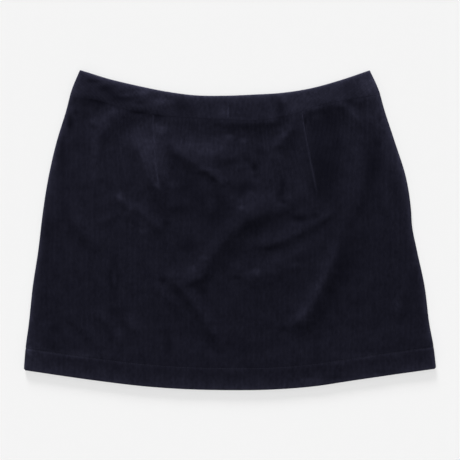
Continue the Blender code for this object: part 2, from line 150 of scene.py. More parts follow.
# ------------------------------------------------------------- outline
# Half widths to the left and to the right of the middle, at each drop below the waist's corners.
Section = namedtuple("Section", "drop left right")
SECTIONS = (
    Section(0, 207.0, 193.0),
    Section(25, 217.5, 204.6),
    Section(58, 227.2, 214.7),
    Section(99, 239.8, 228.2),
    Section(149, 251.3, 243.8),
    Section(190, 258.0, 250.3),
    Section(216, 261.4, 252.1),
    Section(249, 265.4, 258.7),
    Section(299, 273.0, 269.4),
    Section(348, 278.2, 275.5),
    Section(385, 282.7, 281.8),
    Section(414, 285.0, 285.0),
)

# Drops of the waist edge, the waist seam and the hem at each share of the width.
Station = namedtuple("Station", "share waist seam hem")
STATIONS = (
    Station(0.0, 0.0, 37.4, 414.6),
    Station(0.1, 12.0, 43.9, 423.1),
    Station(0.2, 21.5, 56.8, 430.9),
    Station(0.3, 29.5, 63.4, 437.4),
    Station(0.4, 34.6, 66.1, 441.1),
    Station(0.5, 35.1, 68.2, 442.3),
    Station(0.6, 33.5, 69.5, 441.5),
    Station(0.7, 31.0, 63.0, 437.3),
    Station(0.8, 24.6, 49.1, 428.9),
    Station(0.9, 13.5, 40.9, 420.6),
    Station(1.0, 0.0, 34.2, 412.6),
)

# Each dart's line runs from one share of the width at the waist seam to another at its tip, which lies this
# part of the way to the hem. take_up is the cloth that it folds away, and the last column the strength of a
# painted highlight along its folded edge.
Dart = namedtuple("Dart", "name top_share tip_share tip_part take_up open_pile")
DARTS = (
    Dart("left", 0.271, 0.309, 0.25, 11.0, 0.9),
    Dart("right", 0.749, 0.751, 0.30, 12.0, 1.2),
)
DART_STOPS = (-4.8, -3.2, -2.0, -1.0, 0.0, 1.0, 2.0, 3.2, 4.8)   # columns beside each dart's line

# ------------------------------------------------------------- folds and patches
# Each crest runs through three places (x, y), falls away over its own width to the left and to the right of
# that direction, and dies away at each end over the taper, a share of its length. A negative height makes a
# trough.
Fold = namedtuple("Fold", "name start middle end height left_width right_width taper")
FOLDS = (
    Fold("left hip roll", (-195, 104), (-170, 141), (-128, 171), 3.9, 14, 14, 0.42),
    Fold("left dart bulge", (-142, 136), (-117, 90), (-82, -4), 6.4, 22, 10, 0.36),
    Fold("roll under the waistband", (-106, 130), (-60, 100), (-2, 71), 5.0, 20, 12, 0.42),
    Fold("middle drape", (-44, -84), (9, 2), (94, 28), 4.4, 22, 16, 0.28),
    Fold("middle drape tail", (-84, -54), (-52, -70), (-26, -34), 3.6, 16, 9, 0.38),
    Fold("low left fold", (-98, -54), (-51, -101), (-10, -176), 5.2, 10, 11, 0.28),
    Fold("right middle ripple", (12, -25), (78, -12), (140, 26), 3.0, 13, 9, 0.34),
    Fold("low ripple", (8, -74), (66, -50), (140, -1), 3.4, 13, 24, 0.34),
    Fold("long right fold", (74, -140), (122, -88), (164, 28), 7.0, 9, 17, 0.30),
    Fold("long right fold upper", (154, 0), (183, 62), (190, 150), 3.3, 17, 14, 0.42),
    Fold("left slanting crease", (-146, 34), (-120, 22), (-91, -9), 3.2, 8, 13, 0.28),
    Fold("outer left crease", (-232, 32), (-208, 2), (-182, -42), 3.5, 15, 10, 0.42),
    Fold("right dart crease", (56, 107), (77, 129), (97, 155), 3.8, 8, 15, 0.32),
    Fold("right dart ridge", (98, 166), (111, 100), (124, 20), 3.0, 32, 12, 0.42),
    Fold("seam ridge left", (-172, 186), (-128, 171), (-84, 163), 2.4, 13, 10, 0.40),
    Fold("seam ridge middle", (-52, 153), (28, 148), (94, 160), 2.7, 15, 11, 0.34),
    Fold("seam ridge right", (86, 163), (128, 172), (182, 186), 2.0, 14, 14, 0.36),
    Fold("seam ridge at the left side", (-232, 188), (-192, 186), (-152, 180), 1.6, 12, 9, 0.36),
)

# Finer creases, drawn in the same way.
CREASES = (
    Fold("streak under the roll", (-48, 88), (-21, 76), (4, 62), 1.8, 5, 5, 0.3),
    Fold("second streak", (-31, 78), (-19, 70), (-6, 60), 1.6, 3.5, 4, 0.3),
    Fold("right arm of the roll", (-34, 97), (-12, 108), (10, 130), 2.2, 10, 15, 0.36),
    Fold("shelf under the waistband", (-24, 98), (4, 100), (30, 106), 2.4, 14, 12, 0.4),
    Fold("line below the right arm", (9, 111), (28, 88), (46, 61), -2.0, 6, 6, 0.4),
    Fold("short ridge in the middle", (-94, 29), (-70, 34), (-46, 34), 1.7, 10, 8, 0.36),
    Fold("second slant", (-147, 25), (-130, 12), (-108, -5), 1.5, 5, 7, 0.4),
    Fold("head of the slanting crease", (-158, 55), (-147, 38), (-131, 26), 2.4, 6, 8, 0.4),
    Fold("third slant", (-186, 10), (-165, 17), (-142, 27), 1.3, 6, 7, 0.4),
    Fold("west of the low fold", (-112, -64), (-90, -90), (-66, -122), 1.8, 8, 8, 0.4),
    Fold("arc beside the low ripple", (-4, -60), (12, -74), (36, -78), -1.6, 6, 6, 0.4),
    Fold("lower lip of the slash", (67, 40), (74, 31), (82, 20), 1.2, 5, 9, 0.4),
    Fold("upper lip of the slash", (76, 50), (85, 38), (95, 26), 1.2, 12, 4.5, 0.4),
    Fold("tip of the middle ripple", (120, 6), (133, 17), (146, 30), 1.4, 6, 6, 0.4),
    Fold("right corner", (146, 178), (166, 162), (196, 128), 2.8, 6, 10, 0.4),
    Fold("low diagonal outside", (-236, -104), (-206, -136), (-172, -164), 2.0, 14, 8, 0.4),
    Fold("low diagonal middle", (-192, -104), (-167, -132), (-146, -172), 3.0, 8, 9, 0.4),
    Fold("low diagonal inside", (-172, -88), (-144, -124), (-118, -164), 3.1, 12, 9, 0.4),
    Fold("left hem corner", (-232, -178), (-250, -152), (-264, -116), 3.4, 9, 12, 0.4),
    Fold("right low crease", (216, -156), (239, -94), (254, -28), 1.6, 8, 8, 0.4),
    Fold("right outer crease", (214, 20), (220, 72), (206, 134), 2.0, 10, 10, 0.4),
    Fold("lens of the drape", (0, 18), (30, 28), (64, 54), 2.7, 13, 20, 0.34),
    Fold("left hip line", (-190, 108), (-188, 80), (-184, 46), 1.0, 6, 4, 0.4),
    Fold("dip beside the left dart", (-92, 96), (-84, 70), (-70, 36), -1.5, 12, 9, 0.4),
)

# Broad oval rises that the creases lie on.
Swell = namedtuple("Swell", "name centre half_width half_length height")
SWELLS = (
    Swell("middle", (-8, 40), 150, 130, 3.5),
    Swell("left hip", (-150, 90), 70, 90, 1.5),
    Swell("right hip", (160, 60), 70, 110, 1.5),
)

# Oval patches where the pile is lighter or darker, by their place on the skirt: partly pile combed up or
# down, partly painted light and painted shade of folds and creases, which stay put when the lamps move.
NapAndShadePatch = namedtuple("NapAndShadePatch", "name centre half_width half_length height")
NAP_AND_PAINTED_SHADE = (
    # the left hip and the left dart
    NapAndShadePatch("beside the left dart", (-112, 108), 30, 62, 0.80),
    NapAndShadePatch("head of the slanting crease", (-152, 46), 8, 10, 1.20),
    NapAndShadePatch("left dart's head", (-97, 142), 14, 14, 1.40),
    NapAndShadePatch("left hip", (-174, 152), 26, 16, 0.40),
    NapAndShadePatch("left hip roll's middle", (-190, 152), 12, 8, 0.60),
    NapAndShadePatch("below the left hip", (-185, 118), 10, 22, 0.70),
    NapAndShadePatch("under the left dart's tip", (-75, 64), 18, 9, 0.60),
    NapAndShadePatch("left side by the waist seam", (-213, 163), 5, 10, -0.80),
    NapAndShadePatch("dip beside the left hip", (-188, 142), 9, 6, -0.60),
    NapAndShadePatch("left dart's tip", (-100, 62), 7, 6, 1.20),
    NapAndShadePatch("pit at the left dart's tip", (-98, 75), 4, 5, -0.90),
    NapAndShadePatch("arc above the bulge", (-126, 163), 20, 5, -0.60),
    NapAndShadePatch("waist seam on the left", (-188, 178), 22, 5, -0.50),
    NapAndShadePatch("waist seam over the left dart", (-100, 158), 18, 5, -0.50),
    NapAndShadePatch("arc left of the bulge", (-163, 152), 13, 9, -0.60),
    NapAndShadePatch("east of the bulge's start", (-94, 139), 11, 9, 0.90),
    NapAndShadePatch("seam over the left hip", (-178, 174), 16, 6, -0.60),
    NapAndShadePatch("corner of the left hip", (-161, 164), 9, 7, 0.90),
    NapAndShadePatch("notch of the roll", (-84, 116), 11, 7, -0.50),
    NapAndShadePatch("right of the left dart", (-92, 80), 12, 20, 0.70),
    NapAndShadePatch("middle", (-66, 56), 44, 46, -0.50),
    NapAndShadePatch("left hip line", (-189, 84), 9, 44, 0.35),
    NapAndShadePatch("left hip's edge", (-234, 116), 12, 54, -0.60),
    NapAndShadePatch("left hip's edge by the band", (-221, 150), 8, 24, -1.00),
    # under the middle of the waistband
    NapAndShadePatch("under the waistband", (-44, 116), 50, 20, 0.50),
    NapAndShadePatch("foot of the roll", (-32, 108), 20, 9, 0.40),
    NapAndShadePatch("lens's far side", (27, 50), 11, 12, 0.60),
    NapAndShadePatch("below the shelf", (10, 88), 14, 8, 0.80),
    NapAndShadePatch("end of the shelf", (19, 124), 10, 7, 0.90),
    NapAndShadePatch("over the shelf", (-20, 126), 9, 8, 0.90),
    NapAndShadePatch("roll under the waistband", (-54, 116), 12, 8, 0.60),
    NapAndShadePatch("middle of the shelf", (0, 129), 12, 6, 0.80),
    NapAndShadePatch("second streak", (-13, 67), 14, 8, 0.90),
    NapAndShadePatch("first streak", (-36, 84), 17, 7, 0.80),
    NapAndShadePatch("dark line's middle", (34, 88), 7, 11, -0.70),
    NapAndShadePatch("dark line's foot", (36, 75), 8, 8, -0.60),
    NapAndShadePatch("roll's lower end", (-18, 82), 12, 6, 0.60),
    NapAndShadePatch("right of the shelf", (39, 110), 13, 13, -0.50),
    NapAndShadePatch("north of the drape", (20, 58), 30, 16, -0.70),
    # the right dart and the right hip
    NapAndShadePatch("right dart", (132, 110), 36, 100, -0.80),
    NapAndShadePatch("right hip", (196, 96), 22, 60, -0.50),
    NapAndShadePatch("right of the corner", (205, 121), 9, 12, -0.50),
    NapAndShadePatch("right corner", (172, 158), 16, 20, 0.90),
    NapAndShadePatch("beside the right dart", (132, 118), 22, 40, 0.45),
    NapAndShadePatch("right side at the hip", (228, 102), 5, 12, -0.80),
    NapAndShadePatch("head of the right dart", (103, 150), 4, 10, -0.80),
    NapAndShadePatch("left of the right dart's head", (76, 132), 8, 6, 0.70),
    NapAndShadePatch("side by the waist seam", (190, 177), 9, 4, 0.50),
    NapAndShadePatch("right of the right corner", (191, 163), 7, 20, 0.60),
    NapAndShadePatch("right side under the band", (207, 156), 6, 12, -0.90),
    NapAndShadePatch("above the right dart crease", (58, 150), 12, 7, 0.60),
    NapAndShadePatch("right of the right dart crease", (88, 148), 8, 10, -0.50),
    NapAndShadePatch("below the right dart crease", (65, 106), 14, 10, 0.45),
    NapAndShadePatch("above the slash", (69, 50), 10, 12, -0.55),
    NapAndShadePatch("right of the outer crease", (219, 42), 12, 18, 0.50),
    NapAndShadePatch("left of the right dart's tip", (73, 64), 8, 17, -0.70),
    NapAndShadePatch("left of the right dart", (100, 60), 14, 24, 0.30),
    NapAndShadePatch("panel under the band on the right", (122, 158), 16, 9, 0.40),
    # low on the left
    NapAndShadePatch("right of the low diagonals", (-85, -158), 12, 26, -0.50),
    NapAndShadePatch("left of the outer crease", (-226, 25), 18, 13, -0.45),
    NapAndShadePatch("outside the low left fold", (-160, -65), 6, 18, 0.90),
    NapAndShadePatch("low on the left", (-148, -112), 30, 10, -0.45),
    NapAndShadePatch("bend of the slanting crease", (-137, 29), 10, 5, 0.80),
    NapAndShadePatch("second branch of the slanting crease", (-137, 10), 6, 8, 0.70),
    NapAndShadePatch("inside the low diagonals", (-138, -128), 30, 26, 0.35),
    NapAndShadePatch("foot of the low diagonals", (-155, -146), 12, 16, 0.50),
    NapAndShadePatch("above the tail", (-62, -26), 22, 9, -0.40),
    NapAndShadePatch("west of the tail", (-93, -69), 9, 7, -0.80),
    NapAndShadePatch("west of the low left fold", (-92, -90), 8, 16, 0.50),
    NapAndShadePatch("foot of the tail", (-72, -67), 16, 5, -0.60),
    NapAndShadePatch("below the left dart", (-88, 10), 11, 8, -0.50),
    NapAndShadePatch("foot of the slanting crease", (-119, 0), 15, 8, 1.30),
    NapAndShadePatch("low left", (-161, -72), 13, 58, -0.55),
    NapAndShadePatch("left edge", (-256, 10), 15, 90, -0.50),
    NapAndShadePatch("left corner", (-242, -136), 20, 14, -0.60),
    # the drape, its tail and the ripples
    NapAndShadePatch("head of the middle", (-27, 38), 12, 18, 0.60),
    NapAndShadePatch("lens's near side", (15, 31), 8, 5, 0.90),
    NapAndShadePatch("above the tail's end", (-55, -19), 28, 9, -0.40),
    NapAndShadePatch("end of the tail", (-35, -38), 14, 5, 0.70),
    NapAndShadePatch("west of the low ripple", (10, -66), 12, 6, -0.60),
    NapAndShadePatch("knot in the low ripple", (36, -57), 9, 7, 0.80),
    NapAndShadePatch("end of the low left fold", (-22, -138), 6, 16, 0.60),
    NapAndShadePatch("middle of the low ripple", (63, -56), 12, 7, 0.60),
    NapAndShadePatch("west end of the low ripple", (10, -48), 18, 7, 0.60),
    NapAndShadePatch("north of the low ripple", (40, -30), 24, 6, 0.50),
    NapAndShadePatch("beside the tail", (-52, -54), 12, 9, 0.60),
    NapAndShadePatch("under the tail", (-42, -64), 10, 7, 0.90),
    NapAndShadePatch("low middle", (20, -160), 70, 16, -0.35),
    NapAndShadePatch("west of the drape", (-20, 30), 40, 48, -0.65),
    NapAndShadePatch("below the tail", (-38, -84), 13, 12, -0.60),
    # the long fold and low on the right
    NapAndShadePatch("foot of the long fold", (103, -112), 8, 8, 0.40),
    NapAndShadePatch("flank of the long fold", (121, -77), 5, 8, 0.80),
    NapAndShadePatch("upper flank of the long fold", (144, -56), 7, 8, 0.80),
    NapAndShadePatch("lower flank of the long fold", (113, -111), 6, 8, 0.90),
    NapAndShadePatch("below the long fold", (74, -136), 12, 8, -0.60),
    NapAndShadePatch("right of the long fold's foot", (121, -148), 14, 10, -0.40),
    NapAndShadePatch("shade of the long fold's foot", (103, -124), 17, 20, 0.80),
    NapAndShadePatch("shade of the long fold", (128, -96), 10, 16, 0.50),
    NapAndShadePatch("low right crease", (232, -106), 8, 22, 0.60),
    NapAndShadePatch("below the low ripple", (90, -48), 22, 8, 0.90),
    NapAndShadePatch("head of the slash", (74, 39), 6, 6, -0.70),
    NapAndShadePatch("end of the ripple", (132, 22), 9, 8, 0.30),
    NapAndShadePatch("foot of the right dart", (96, 17), 24, 9, -0.80),
    NapAndShadePatch("above the ripple's end", (118, 20), 10, 7, -0.60),
    NapAndShadePatch("right of the long fold", (160, -30), 40, 70, -0.30),
    # along the hem
    NapAndShadePatch("left hem corner's edge", (-277, -167), 7, 9, 2.50),
    NapAndShadePatch("hem edge on the right", (106, -208), 16, 8, 1.00),
    NapAndShadePatch("hem edge farther right", (150, -203), 34, 6, -0.80),
    NapAndShadePatch("hem edge at the right side", (216, -196), 36, 6, -0.80),
    NapAndShadePatch("hem on the right", (190, -173), 80, 9, 0.60),
    NapAndShadePatch("hem's lower half on the right", (154, -184), 26, 6, 0.70),
    NapAndShadePatch("hem on the left", (-205, -172), 60, 9, 0.60),
    NapAndShadePatch("left hem corner", (-266, -172), 22, 22, 0.90),
    # the waistbands
    NapAndShadePatch("band over the left hip's crease", (-143, 187), 20, 6, 1.00),
    NapAndShadePatch("band over the left hip", (-172, 196), 20, 12, -0.90),
    NapAndShadePatch("band over the left dart", (-93, 178), 22, 9, 1.20),
    NapAndShadePatch("band's upper edge on the left", (-122, 190), 18, 6, 1.20),
    NapAndShadePatch("band above its seam on the left", (-125, 176), 12, 5, -0.60),
    NapAndShadePatch("band's left corner", (-188, 206), 15, 5, -1.00),
    NapAndShadePatch("band beside the left hip", (-148, 184), 38, 14, -1.00),
    NapAndShadePatch("band left of the centre", (-66, 172), 22, 20, -0.50),
    NapAndShadePatch("band at the centre", (-9, 165), 10, 12, 0.50),
    NapAndShadePatch("band's centre seam", (-2.6, 165), 2.0, 18, 1.10),
    NapAndShadePatch("band right of the centre", (70, 168), 10, 24, -0.60),
    NapAndShadePatch("band over the right dart", (92, 170), 22, 24, 0.80),
    NapAndShadePatch("band right of the dart", (122, 182), 24, 12, -0.20),
    NapAndShadePatch("band's pinch", (18, 158), 30, 5, -0.40),
    NapAndShadePatch("band over the right hip", (164, 177), 16, 8, -0.50),
    NapAndShadePatch("band's right corner", (194, 203), 30, 26, 2.00),
    NapAndShadePatch("band over the right side", (130, 184), 70, 20, 0.60),
    NapAndShadePatch("band before the right dart", (75, 181), 8, 9, 1.20),
    NapAndShadePatch("band's lower edge on the right", (116, 168), 22, 7, 0.90),
)


# ------------------------------------------------------------- settings
class SkirtCloth(bpy.types.PropertyGroup):
    """Needlecord of the panels and waistbands."""

    wale_pitch: FloatProperty(
        name="Wale pitch", description="Distance from one rib to the next", default=0.0017,
        min=0.0008, max=0.006, unit="LENGTH", precision=5)
    wale_height: FloatProperty(
        name="Wale height", description="How far the ribs stand above the ground weave", default=0.00035,
        min=0.0, max=0.001, unit="LENGTH", precision=5)
    crest_colour: FloatVectorProperty(
        name="Rib colour", description="Colour of the pile on the ribs", subtype="COLOR", size=3,
        default=(0.0113, 0.0113, 0.0193), min=0.0, max=1.0)
    groove_shade_colour: FloatVectorProperty(
        name="Groove colour", description="Colour between the ribs", subtype="COLOR", size=3,
        default=(0.0032, 0.0032, 0.0058), min=0.0, max=1.0)
    sheen: FloatProperty(
        name="Sheen", description="Strength of the pile's sheen", default=0.02, min=0.0, max=1.0)
    gloss: FloatProperty(
        name="Gloss", description="Strength of the pile's soft highlight", default=0.0, min=0.0, max=1.0)
    creases: FloatProperty(
        name="Creases", description="Strength of the fine creases", default=1.0, min=0.0, max=2.0)


class SkirtSewing(bpy.types.PropertyGroup):
    """Hem stitches and the zip."""

    stitch_length: FloatProperty(
        name="Stitch length", description="Length of the thread that shows in one stitch", default=0.0026,
        min=0.001, max=0.006, unit="LENGTH", precision=5)
    stitch_step: FloatProperty(
        name="Stitch step", description="Distance from one stitch to the next", default=0.0032,
        min=0.0012, max=0.008, unit="LENGTH", precision=5)
    thread_width: FloatProperty(
        name="Thread width", description="Diameter of the sewing thread", default=0.0005,
        min=0.0001, max=0.001, unit="LENGTH", precision=5)
    thread_colour: FloatVectorProperty(
        name="Thread colour", description="Colour of the sewing thread", subtype="COLOR", size=3,
        default=(0.018, 0.018, 0.034), min=0.0, max=1.0)
    coil_step: FloatProperty(
        name="Coil step", description="Distance from one turn of the zip's coil to the next",
        default=0.0011, min=0.0006, max=0.003, unit="LENGTH", precision=5)


class SkirtStage(bpy.types.PropertyGroup):
    """Floor, camera and light."""

    floor_colour: FloatVectorProperty(
        name="Floor colour", description="Colour of the floor", subtype="COLOR", size=3,
        default=(0.8, 0.8, 0.8), min=0.0, max=1.0)
    floor_light: FloatProperty(
        name="Floor light", description="Brightness of the lit floor", default=0.913, min=0.1, max=1.0)
    view_width: FloatProperty(
        name="View width", description="Width of the floor that the camera takes in", default=0.6365,
        min=0.2, max=3.0, unit="LENGTH")
    lens: FloatProperty(
        name="Lens", description="Focal length in millimetres", default=85.0, min=20.0, max=200.0)
    key_share: FloatProperty(
        name="Key share", description="Share of the floor's light that comes from the low side light",
        default=0.15, min=0.0, max=1.0, subtype="FACTOR")
    wash_share: FloatProperty(
        name="Wash share", description="Share of the skirt's light that comes from the soft box",
        default=0.46, min=0.0, max=1.0, subtype="FACTOR")
    wash_distance: FloatProperty(
        name="Wash distance", description="Distance of the soft box across the floor", default=1.2,
        min=0.5, max=5.0, unit="LENGTH")
    wash_height: FloatProperty(
        name="Wash height", description="Height of the soft box", default=0.5,
        min=0.1, max=3.0, unit="LENGTH")
    sky_share: FloatProperty(
        name="Sky share", description="Share of the floor's light that comes evenly from all round",
        default=0.20, min=0.0, max=1.0, subtype="FACTOR")
    key_height: FloatProperty(
        name="Key height", description="Height of the low light above the horizon",
        default=math.radians(18), min=0.0, max=math.pi / 2, subtype="ANGLE")
    key_turn: FloatProperty(
        name="Key turn", description="Turn of the low light from the waist towards the left",
        default=math.radians(12), min=-math.pi, max=math.pi, subtype="ANGLE")
    key_spread: FloatProperty(
        name="Key spread", description="Apparent size of the low light",
        default=math.radians(16), min=0.0, max=math.pi, subtype="ANGLE")


# ------------------------------------------------------------- node trees
class Wire:
    """One value in a node tree. Python's operators add the Math nodes that work on it."""

    def __init__(self, graph, socket):
        self.graph = graph
        self.socket = socket

    def __add__(self, other):
        return self.graph.calc("ADD", self, other)

    def __sub__(self, other):
        return self.graph.calc("SUBTRACT", self, other)

    def __rsub__(self, other):
        return self.graph.calc("SUBTRACT", other, self)

    def __mul__(self, other):
        return self.graph.calc("MULTIPLY", self, other)

    def __truediv__(self, other):
        return self.graph.calc("DIVIDE", self, other)

    def __pow__(self, other):
        return self.graph.calc("POWER", self, other)

    def __abs__(self):
        return self.graph.calc("ABSOLUTE", self)

    __radd__ = __add__
    __rmul__ = __mul__


class Graph:
    """Adds nodes to a tree."""

    def __init__(self, tree):
        self.tree = tree

    def feed(self, socket, value):
        if isinstance(value, Wire):
            self.tree.links.new(value.socket, socket)
        else:
            socket.default_value = value

    def add(self, kind, settings=None, values=None, output=0):
        """Add a node, set it up, feed its sockets, and return one output, or several for a tuple."""
        node = self.tree.nodes.new(kind)
        for name, setting in (settings or {}).items():
            setattr(node, name, setting)
        for name, value in (values or {}).items():
            self.feed(node.inputs[name], value)
        if isinstance(output, tuple):
            return [Wire(self, node.outputs[name]) for name in output]
        return Wire(self, node.outputs[output]) if node.outputs else None

    def calc(self, operation, *values):
        return self.add("ShaderNodeMath", {"operation": operation}, dict(enumerate(values)))

    def noise(self, place, scale=1.0, detail=2.0):
        values = {"Vector": place, "Scale": scale, "Detail": detail}
        return self.add("ShaderNodeTexNoise", values=values, output="Fac")

    def grain(self, across, along, grain):
        """Noise whose patches are about as wide and long as the grain's, centred on 0."""
        values = {"X": across / grain.width, "Y": along / grain.length, "Z": grain.seed}
        return self.noise(self.add("ShaderNodeCombineXYZ", values=values), detail=grain.detail) - 0.5

    def blend(self, factor, start, end):
        """Mix two colours; a factor outside 0 to 1 goes past them."""
        settings = {"data_type": "RGBA", "clamp_factor": False}
        return self.add("ShaderNodeMix", settings, {0: factor, 6: (*start, 1.0), 7: (*end, 1.0)}, output=2)

    def own_place(self):
        """Place on the object's own axes."""
        return self.add("ShaderNodeTexCoord", output="Object")

    def cloth_place(self):
        """Distances across and along the flat cloth."""
        place = self.add("ShaderNodeUVMap", {"uv_map": "cloth"})
        return self.add("ShaderNodeSeparateXYZ", values={"Vector": place}, output=("X", "Y"))

    def wave(self, distance, pitch):
        """0 in the grooves and 1 on the crests of ribs that lie this far apart."""
        return abs(self.calc("SINE", distance * (math.pi / pitch)))

    def bump(self, height):
        return self.add("ShaderNodeBump", values={"Strength": 1.0, "Distance": 1.0, "Height": height})


def new_material(name, **fixed):
    """A material with a Principled shader, whose sockets named in fixed are the same all over."""
    material = bpy.data.materials.new(name)
    material.use_nodes = True
    shader = material.node_tree.nodes["Principled BSDF"]
    for socket, value in fixed.items():
        shader.inputs[socket.replace("_", " ")].default_value = value
    return material, Graph(material.node_tree), shader


def tint(graph, shader, factor, dark_share, colour):
    """Colour a shader with the colour where the factor is 1, and with this share of it where it is 0."""
    dark = [part * dark_share for part in colour]
    graph.feed(shader.inputs["Base Color"], graph.blend(factor, dark, colour))


# ------------------------------------------------------------- finishes
Grain = namedtuple("Grain", "width length seed detail strength")
WANDER = Grain(0.012, 0.06, 3.0, 2.0, 0.5)                # of the ribs, in shares of their pitch
PILE_GRAINS = (
    Grain(0.0045, 0.09, 11.0, 2.0, 0.1),                  # streaks
    Grain(0.014, 0.018, 17.0, 3.0, 1.1),                  # patches
    Grain(0.0035, 0.0055, 29.0, 2.0, 1.1),                # mottle
)
TUFTS = Grain(0.0007, 0.0011, 23.0, 2.0, 0.4)
TUFT_RELIEF = 0.00012
TUFT_ROUGHNESS = 0.08
CORD_ROUGHNESS = 0.82
RIB_SHINE = 0.10          # how much smoother the crests of the ribs are
SLUBS = Grain(0.002, 0.004, 5.0, 2.0, 0.8)                # of a plain weave
WEAVE_RELIEF = 0.00008
TWIST_PITCH = 0.00045
TWIST_LEAN = 1.6
TWIST_RELIEF = 0.00004


def cord_finish(name, rib_relief, lift):
    """Needlecord: ribs along the cloth whose grooves are darker, partly their own colour and partly painted
    shade, streaks, patches, a fine tufted surface, and painted light and painted shade from the mesh's pile
    attribute.
    """
    cloth = bpy.context.scene.skirt_cloth
    material, graph, shader = new_material(
        name, Specular_IOR_Level=cloth.gloss, Specular_Tint=(0.7, 0.7, 1.0, 1.0), Sheen_Weight=cloth.sheen,
        Sheen_Roughness=0.45, Sheen_Tint=(0.45, 0.45, 0.75, 1.0))
    across, along = graph.cloth_place()
    wander = (graph.grain(across, along, WANDER) + 0.5) * (WANDER.strength * cloth.wale_pitch)
    ribs = graph.wave(across + wander, cloth.wale_pitch) ** RIB_SHAPE
    tufts = graph.grain(across, along, TUFTS)
    unevenness = tufts * TUFTS.strength
    for grain in PILE_GRAINS:
        unevenness += graph.grain(across, along, grain) * grain.strength
    # The mesh's pile attribute carries painted light and painted shade, as well as patches of the pile's
    # own tone.
    nap_and_light = graph.add("ShaderNodeAttribute", {"attribute_name": "nap"}, output="Fac") + 1.0
    pile = ribs * (unevenness + 1.0) * nap_and_light * lift
    # The grooves between the ribs take the darker colour: partly the ground weave's own colour, partly
    # painted shade in the grooves.
    graph.feed(shader.inputs["Base Color"], graph.blend(pile, cloth.groove_shade_colour, cloth.crest_colour))
    graph.feed(shader.inputs["Roughness"], CORD_ROUGHNESS - ribs * RIB_SHINE + tufts * TUFT_ROUGHNESS)
    graph.feed(shader.inputs["Normal"], graph.bump(ribs * rib_relief + tufts * TUFT_RELIEF))
    return material


def weave_finish(name, colour, thread=0.0006):
    """Plain weave: the wrong side of the cord, and the zip's tape."""
    material, graph, shader = new_material(name, Roughness=0.9, Specular_IOR_Level=0.1)
    across, along = graph.cloth_place()
    slubs = graph.grain(across, along, SLUBS) * SLUBS.strength
    weave = graph.wave(across, thread) * graph.wave(along, thread) * (slubs + 1.0)
    tint(graph, shader, weave, 0.45, colour)
    graph.feed(shader.inputs["Normal"], graph.bump(weave * WEAVE_RELIEF))
    return material


def thread_finish(name, colour):
    """Twisted sewing thread."""
    material, graph, shader = new_material(name, Roughness=0.7, Specular_IOR_Level=0.15)
    across, along, height = graph.add(
        "ShaderNodeSeparateXYZ", values={"Vector": graph.own_place()}, output=("X", "Y", "Z"))
    twist = graph.wave(across + along * TWIST_LEAN + height, TWIST_PITCH)
    tint(graph, shader, twist, 0.5, colour)
    graph.feed(shader.inputs["Normal"], graph.bump(twist * TWIST_RELIEF))
    return material


def enamel_finish(name):
    """Navy enamel of the zip's slider, a little worn."""
    material, graph, shader = new_material(name, Metallic=0.3, Coat_Weight=0.4)
    wear = graph.noise(graph.own_place(), 900.0, 3.0)
    graph.feed(shader.inputs["Base Color"], graph.blend(wear, (0.012, 0.012, 0.022), (0.028, 0.028, 0.042)))
    graph.feed(shader.inputs["Roughness"], 0.28 + wear * 0.2)
    return material


def floor_finish(name, colour):
    """Pale matt card."""
    material, graph, shader = new_material(name, Roughness=0.9, Specular_IOR_Level=0.0)
    tint(graph, shader, graph.noise(graph.own_place(), 60.0), 0.992, colour)
    return material


# ------------------------------------------------------------- curves and outline
def smooth_curve(places, values):
    """Return a function that reads a cubic curve through the given values."""
    places = np.asarray(places, float)
    values = np.asarray(values, float)
    slopes = np.gradient(values, places)

    def read(at):
        at = np.clip(at, places[0], places[-1])
        index = np.clip(np.searchsorted(places, at, side="right") - 1, 0, len(places) - 2)
        span = places[index + 1] - places[index]
        t = (at - places[index]) / span
        start = values[index] * (1 + 2 * t) * (1 - t) ** 2
        end = values[index + 1] * (3 - 2 * t) * t ** 2
        lean = span * t * (1 - t) * (slopes[index] * (1 - t) - slopes[index + 1] * t)
        return start + end + lean

    return read


def column_curve(rows, key, value):
    """Read one named column of a table against another."""
    return smooth_curve([getattr(row, key) for row in rows], [getattr(row, value) for row in rows])


LEFT_EDGE = column_curve(SECTIONS, "drop", "left")
RIGHT_EDGE = column_curve(SECTIONS, "drop", "right")
WAIST_LINE = column_curve(STATIONS, "share", "waist")
SEAM_LINE = column_curve(STATIONS, "share", "seam")
HEM_LINE = column_curve(STATIONS, "share", "hem")
HEM_CORNER = LEFT_EDGE(LENGTH)            # half the width of the hem


def mix(start, end, part):
    return start + (end - start) * part


def ease(start, end, at):
    """0 before start, 1 after end, and a smooth step between."""
    t = np.clip((np.asarray(at, float) - start) / (end - start), 0.0, 1.0)
    return t * t * (3 - 2 * t)


def ease_out(start, end, at):
    """1 before start, 0 after end, and a smooth step between."""
    return 1 - ease(start, end, at)


def dipped(line):
    """The same cross line on the front, which runs lower in the middle."""
    return lambda share: line(share) + 4 * FRONT_DIP * share * (1 - share)


def row_edges(top_line, low_line, part):
    """x of the left and right edges at this part of the way down."""
    left_drop = mix(top_line(0.0), low_line(0.0), part)
    right_drop = mix(top_line(1.0), low_line(1.0), part)
    return -LEFT_EDGE(left_drop), RIGHT_EDGE(right_drop)


def rumple(x, y, size, seed):
    """Smooth unevenness from -1 to 1 with patches of about this size, the same each run."""
    count = 64
    lattice = np.random.default_rng(seed).uniform(-1.0, 1.0, (count, count))
    across, along = x / size, y / size
    i, j = np.floor(across).astype(int), np.floor(along).astype(int)
    s, t = ease(0, 1, across - i), ease(0, 1, along - j)

    def pick(di, dj):
        return lattice[(i + di) % count, (j + dj) % count]

    return mix(mix(pick(0, 0), pick(1, 0), s), mix(pick(0, 1), pick(1, 1), s), t)


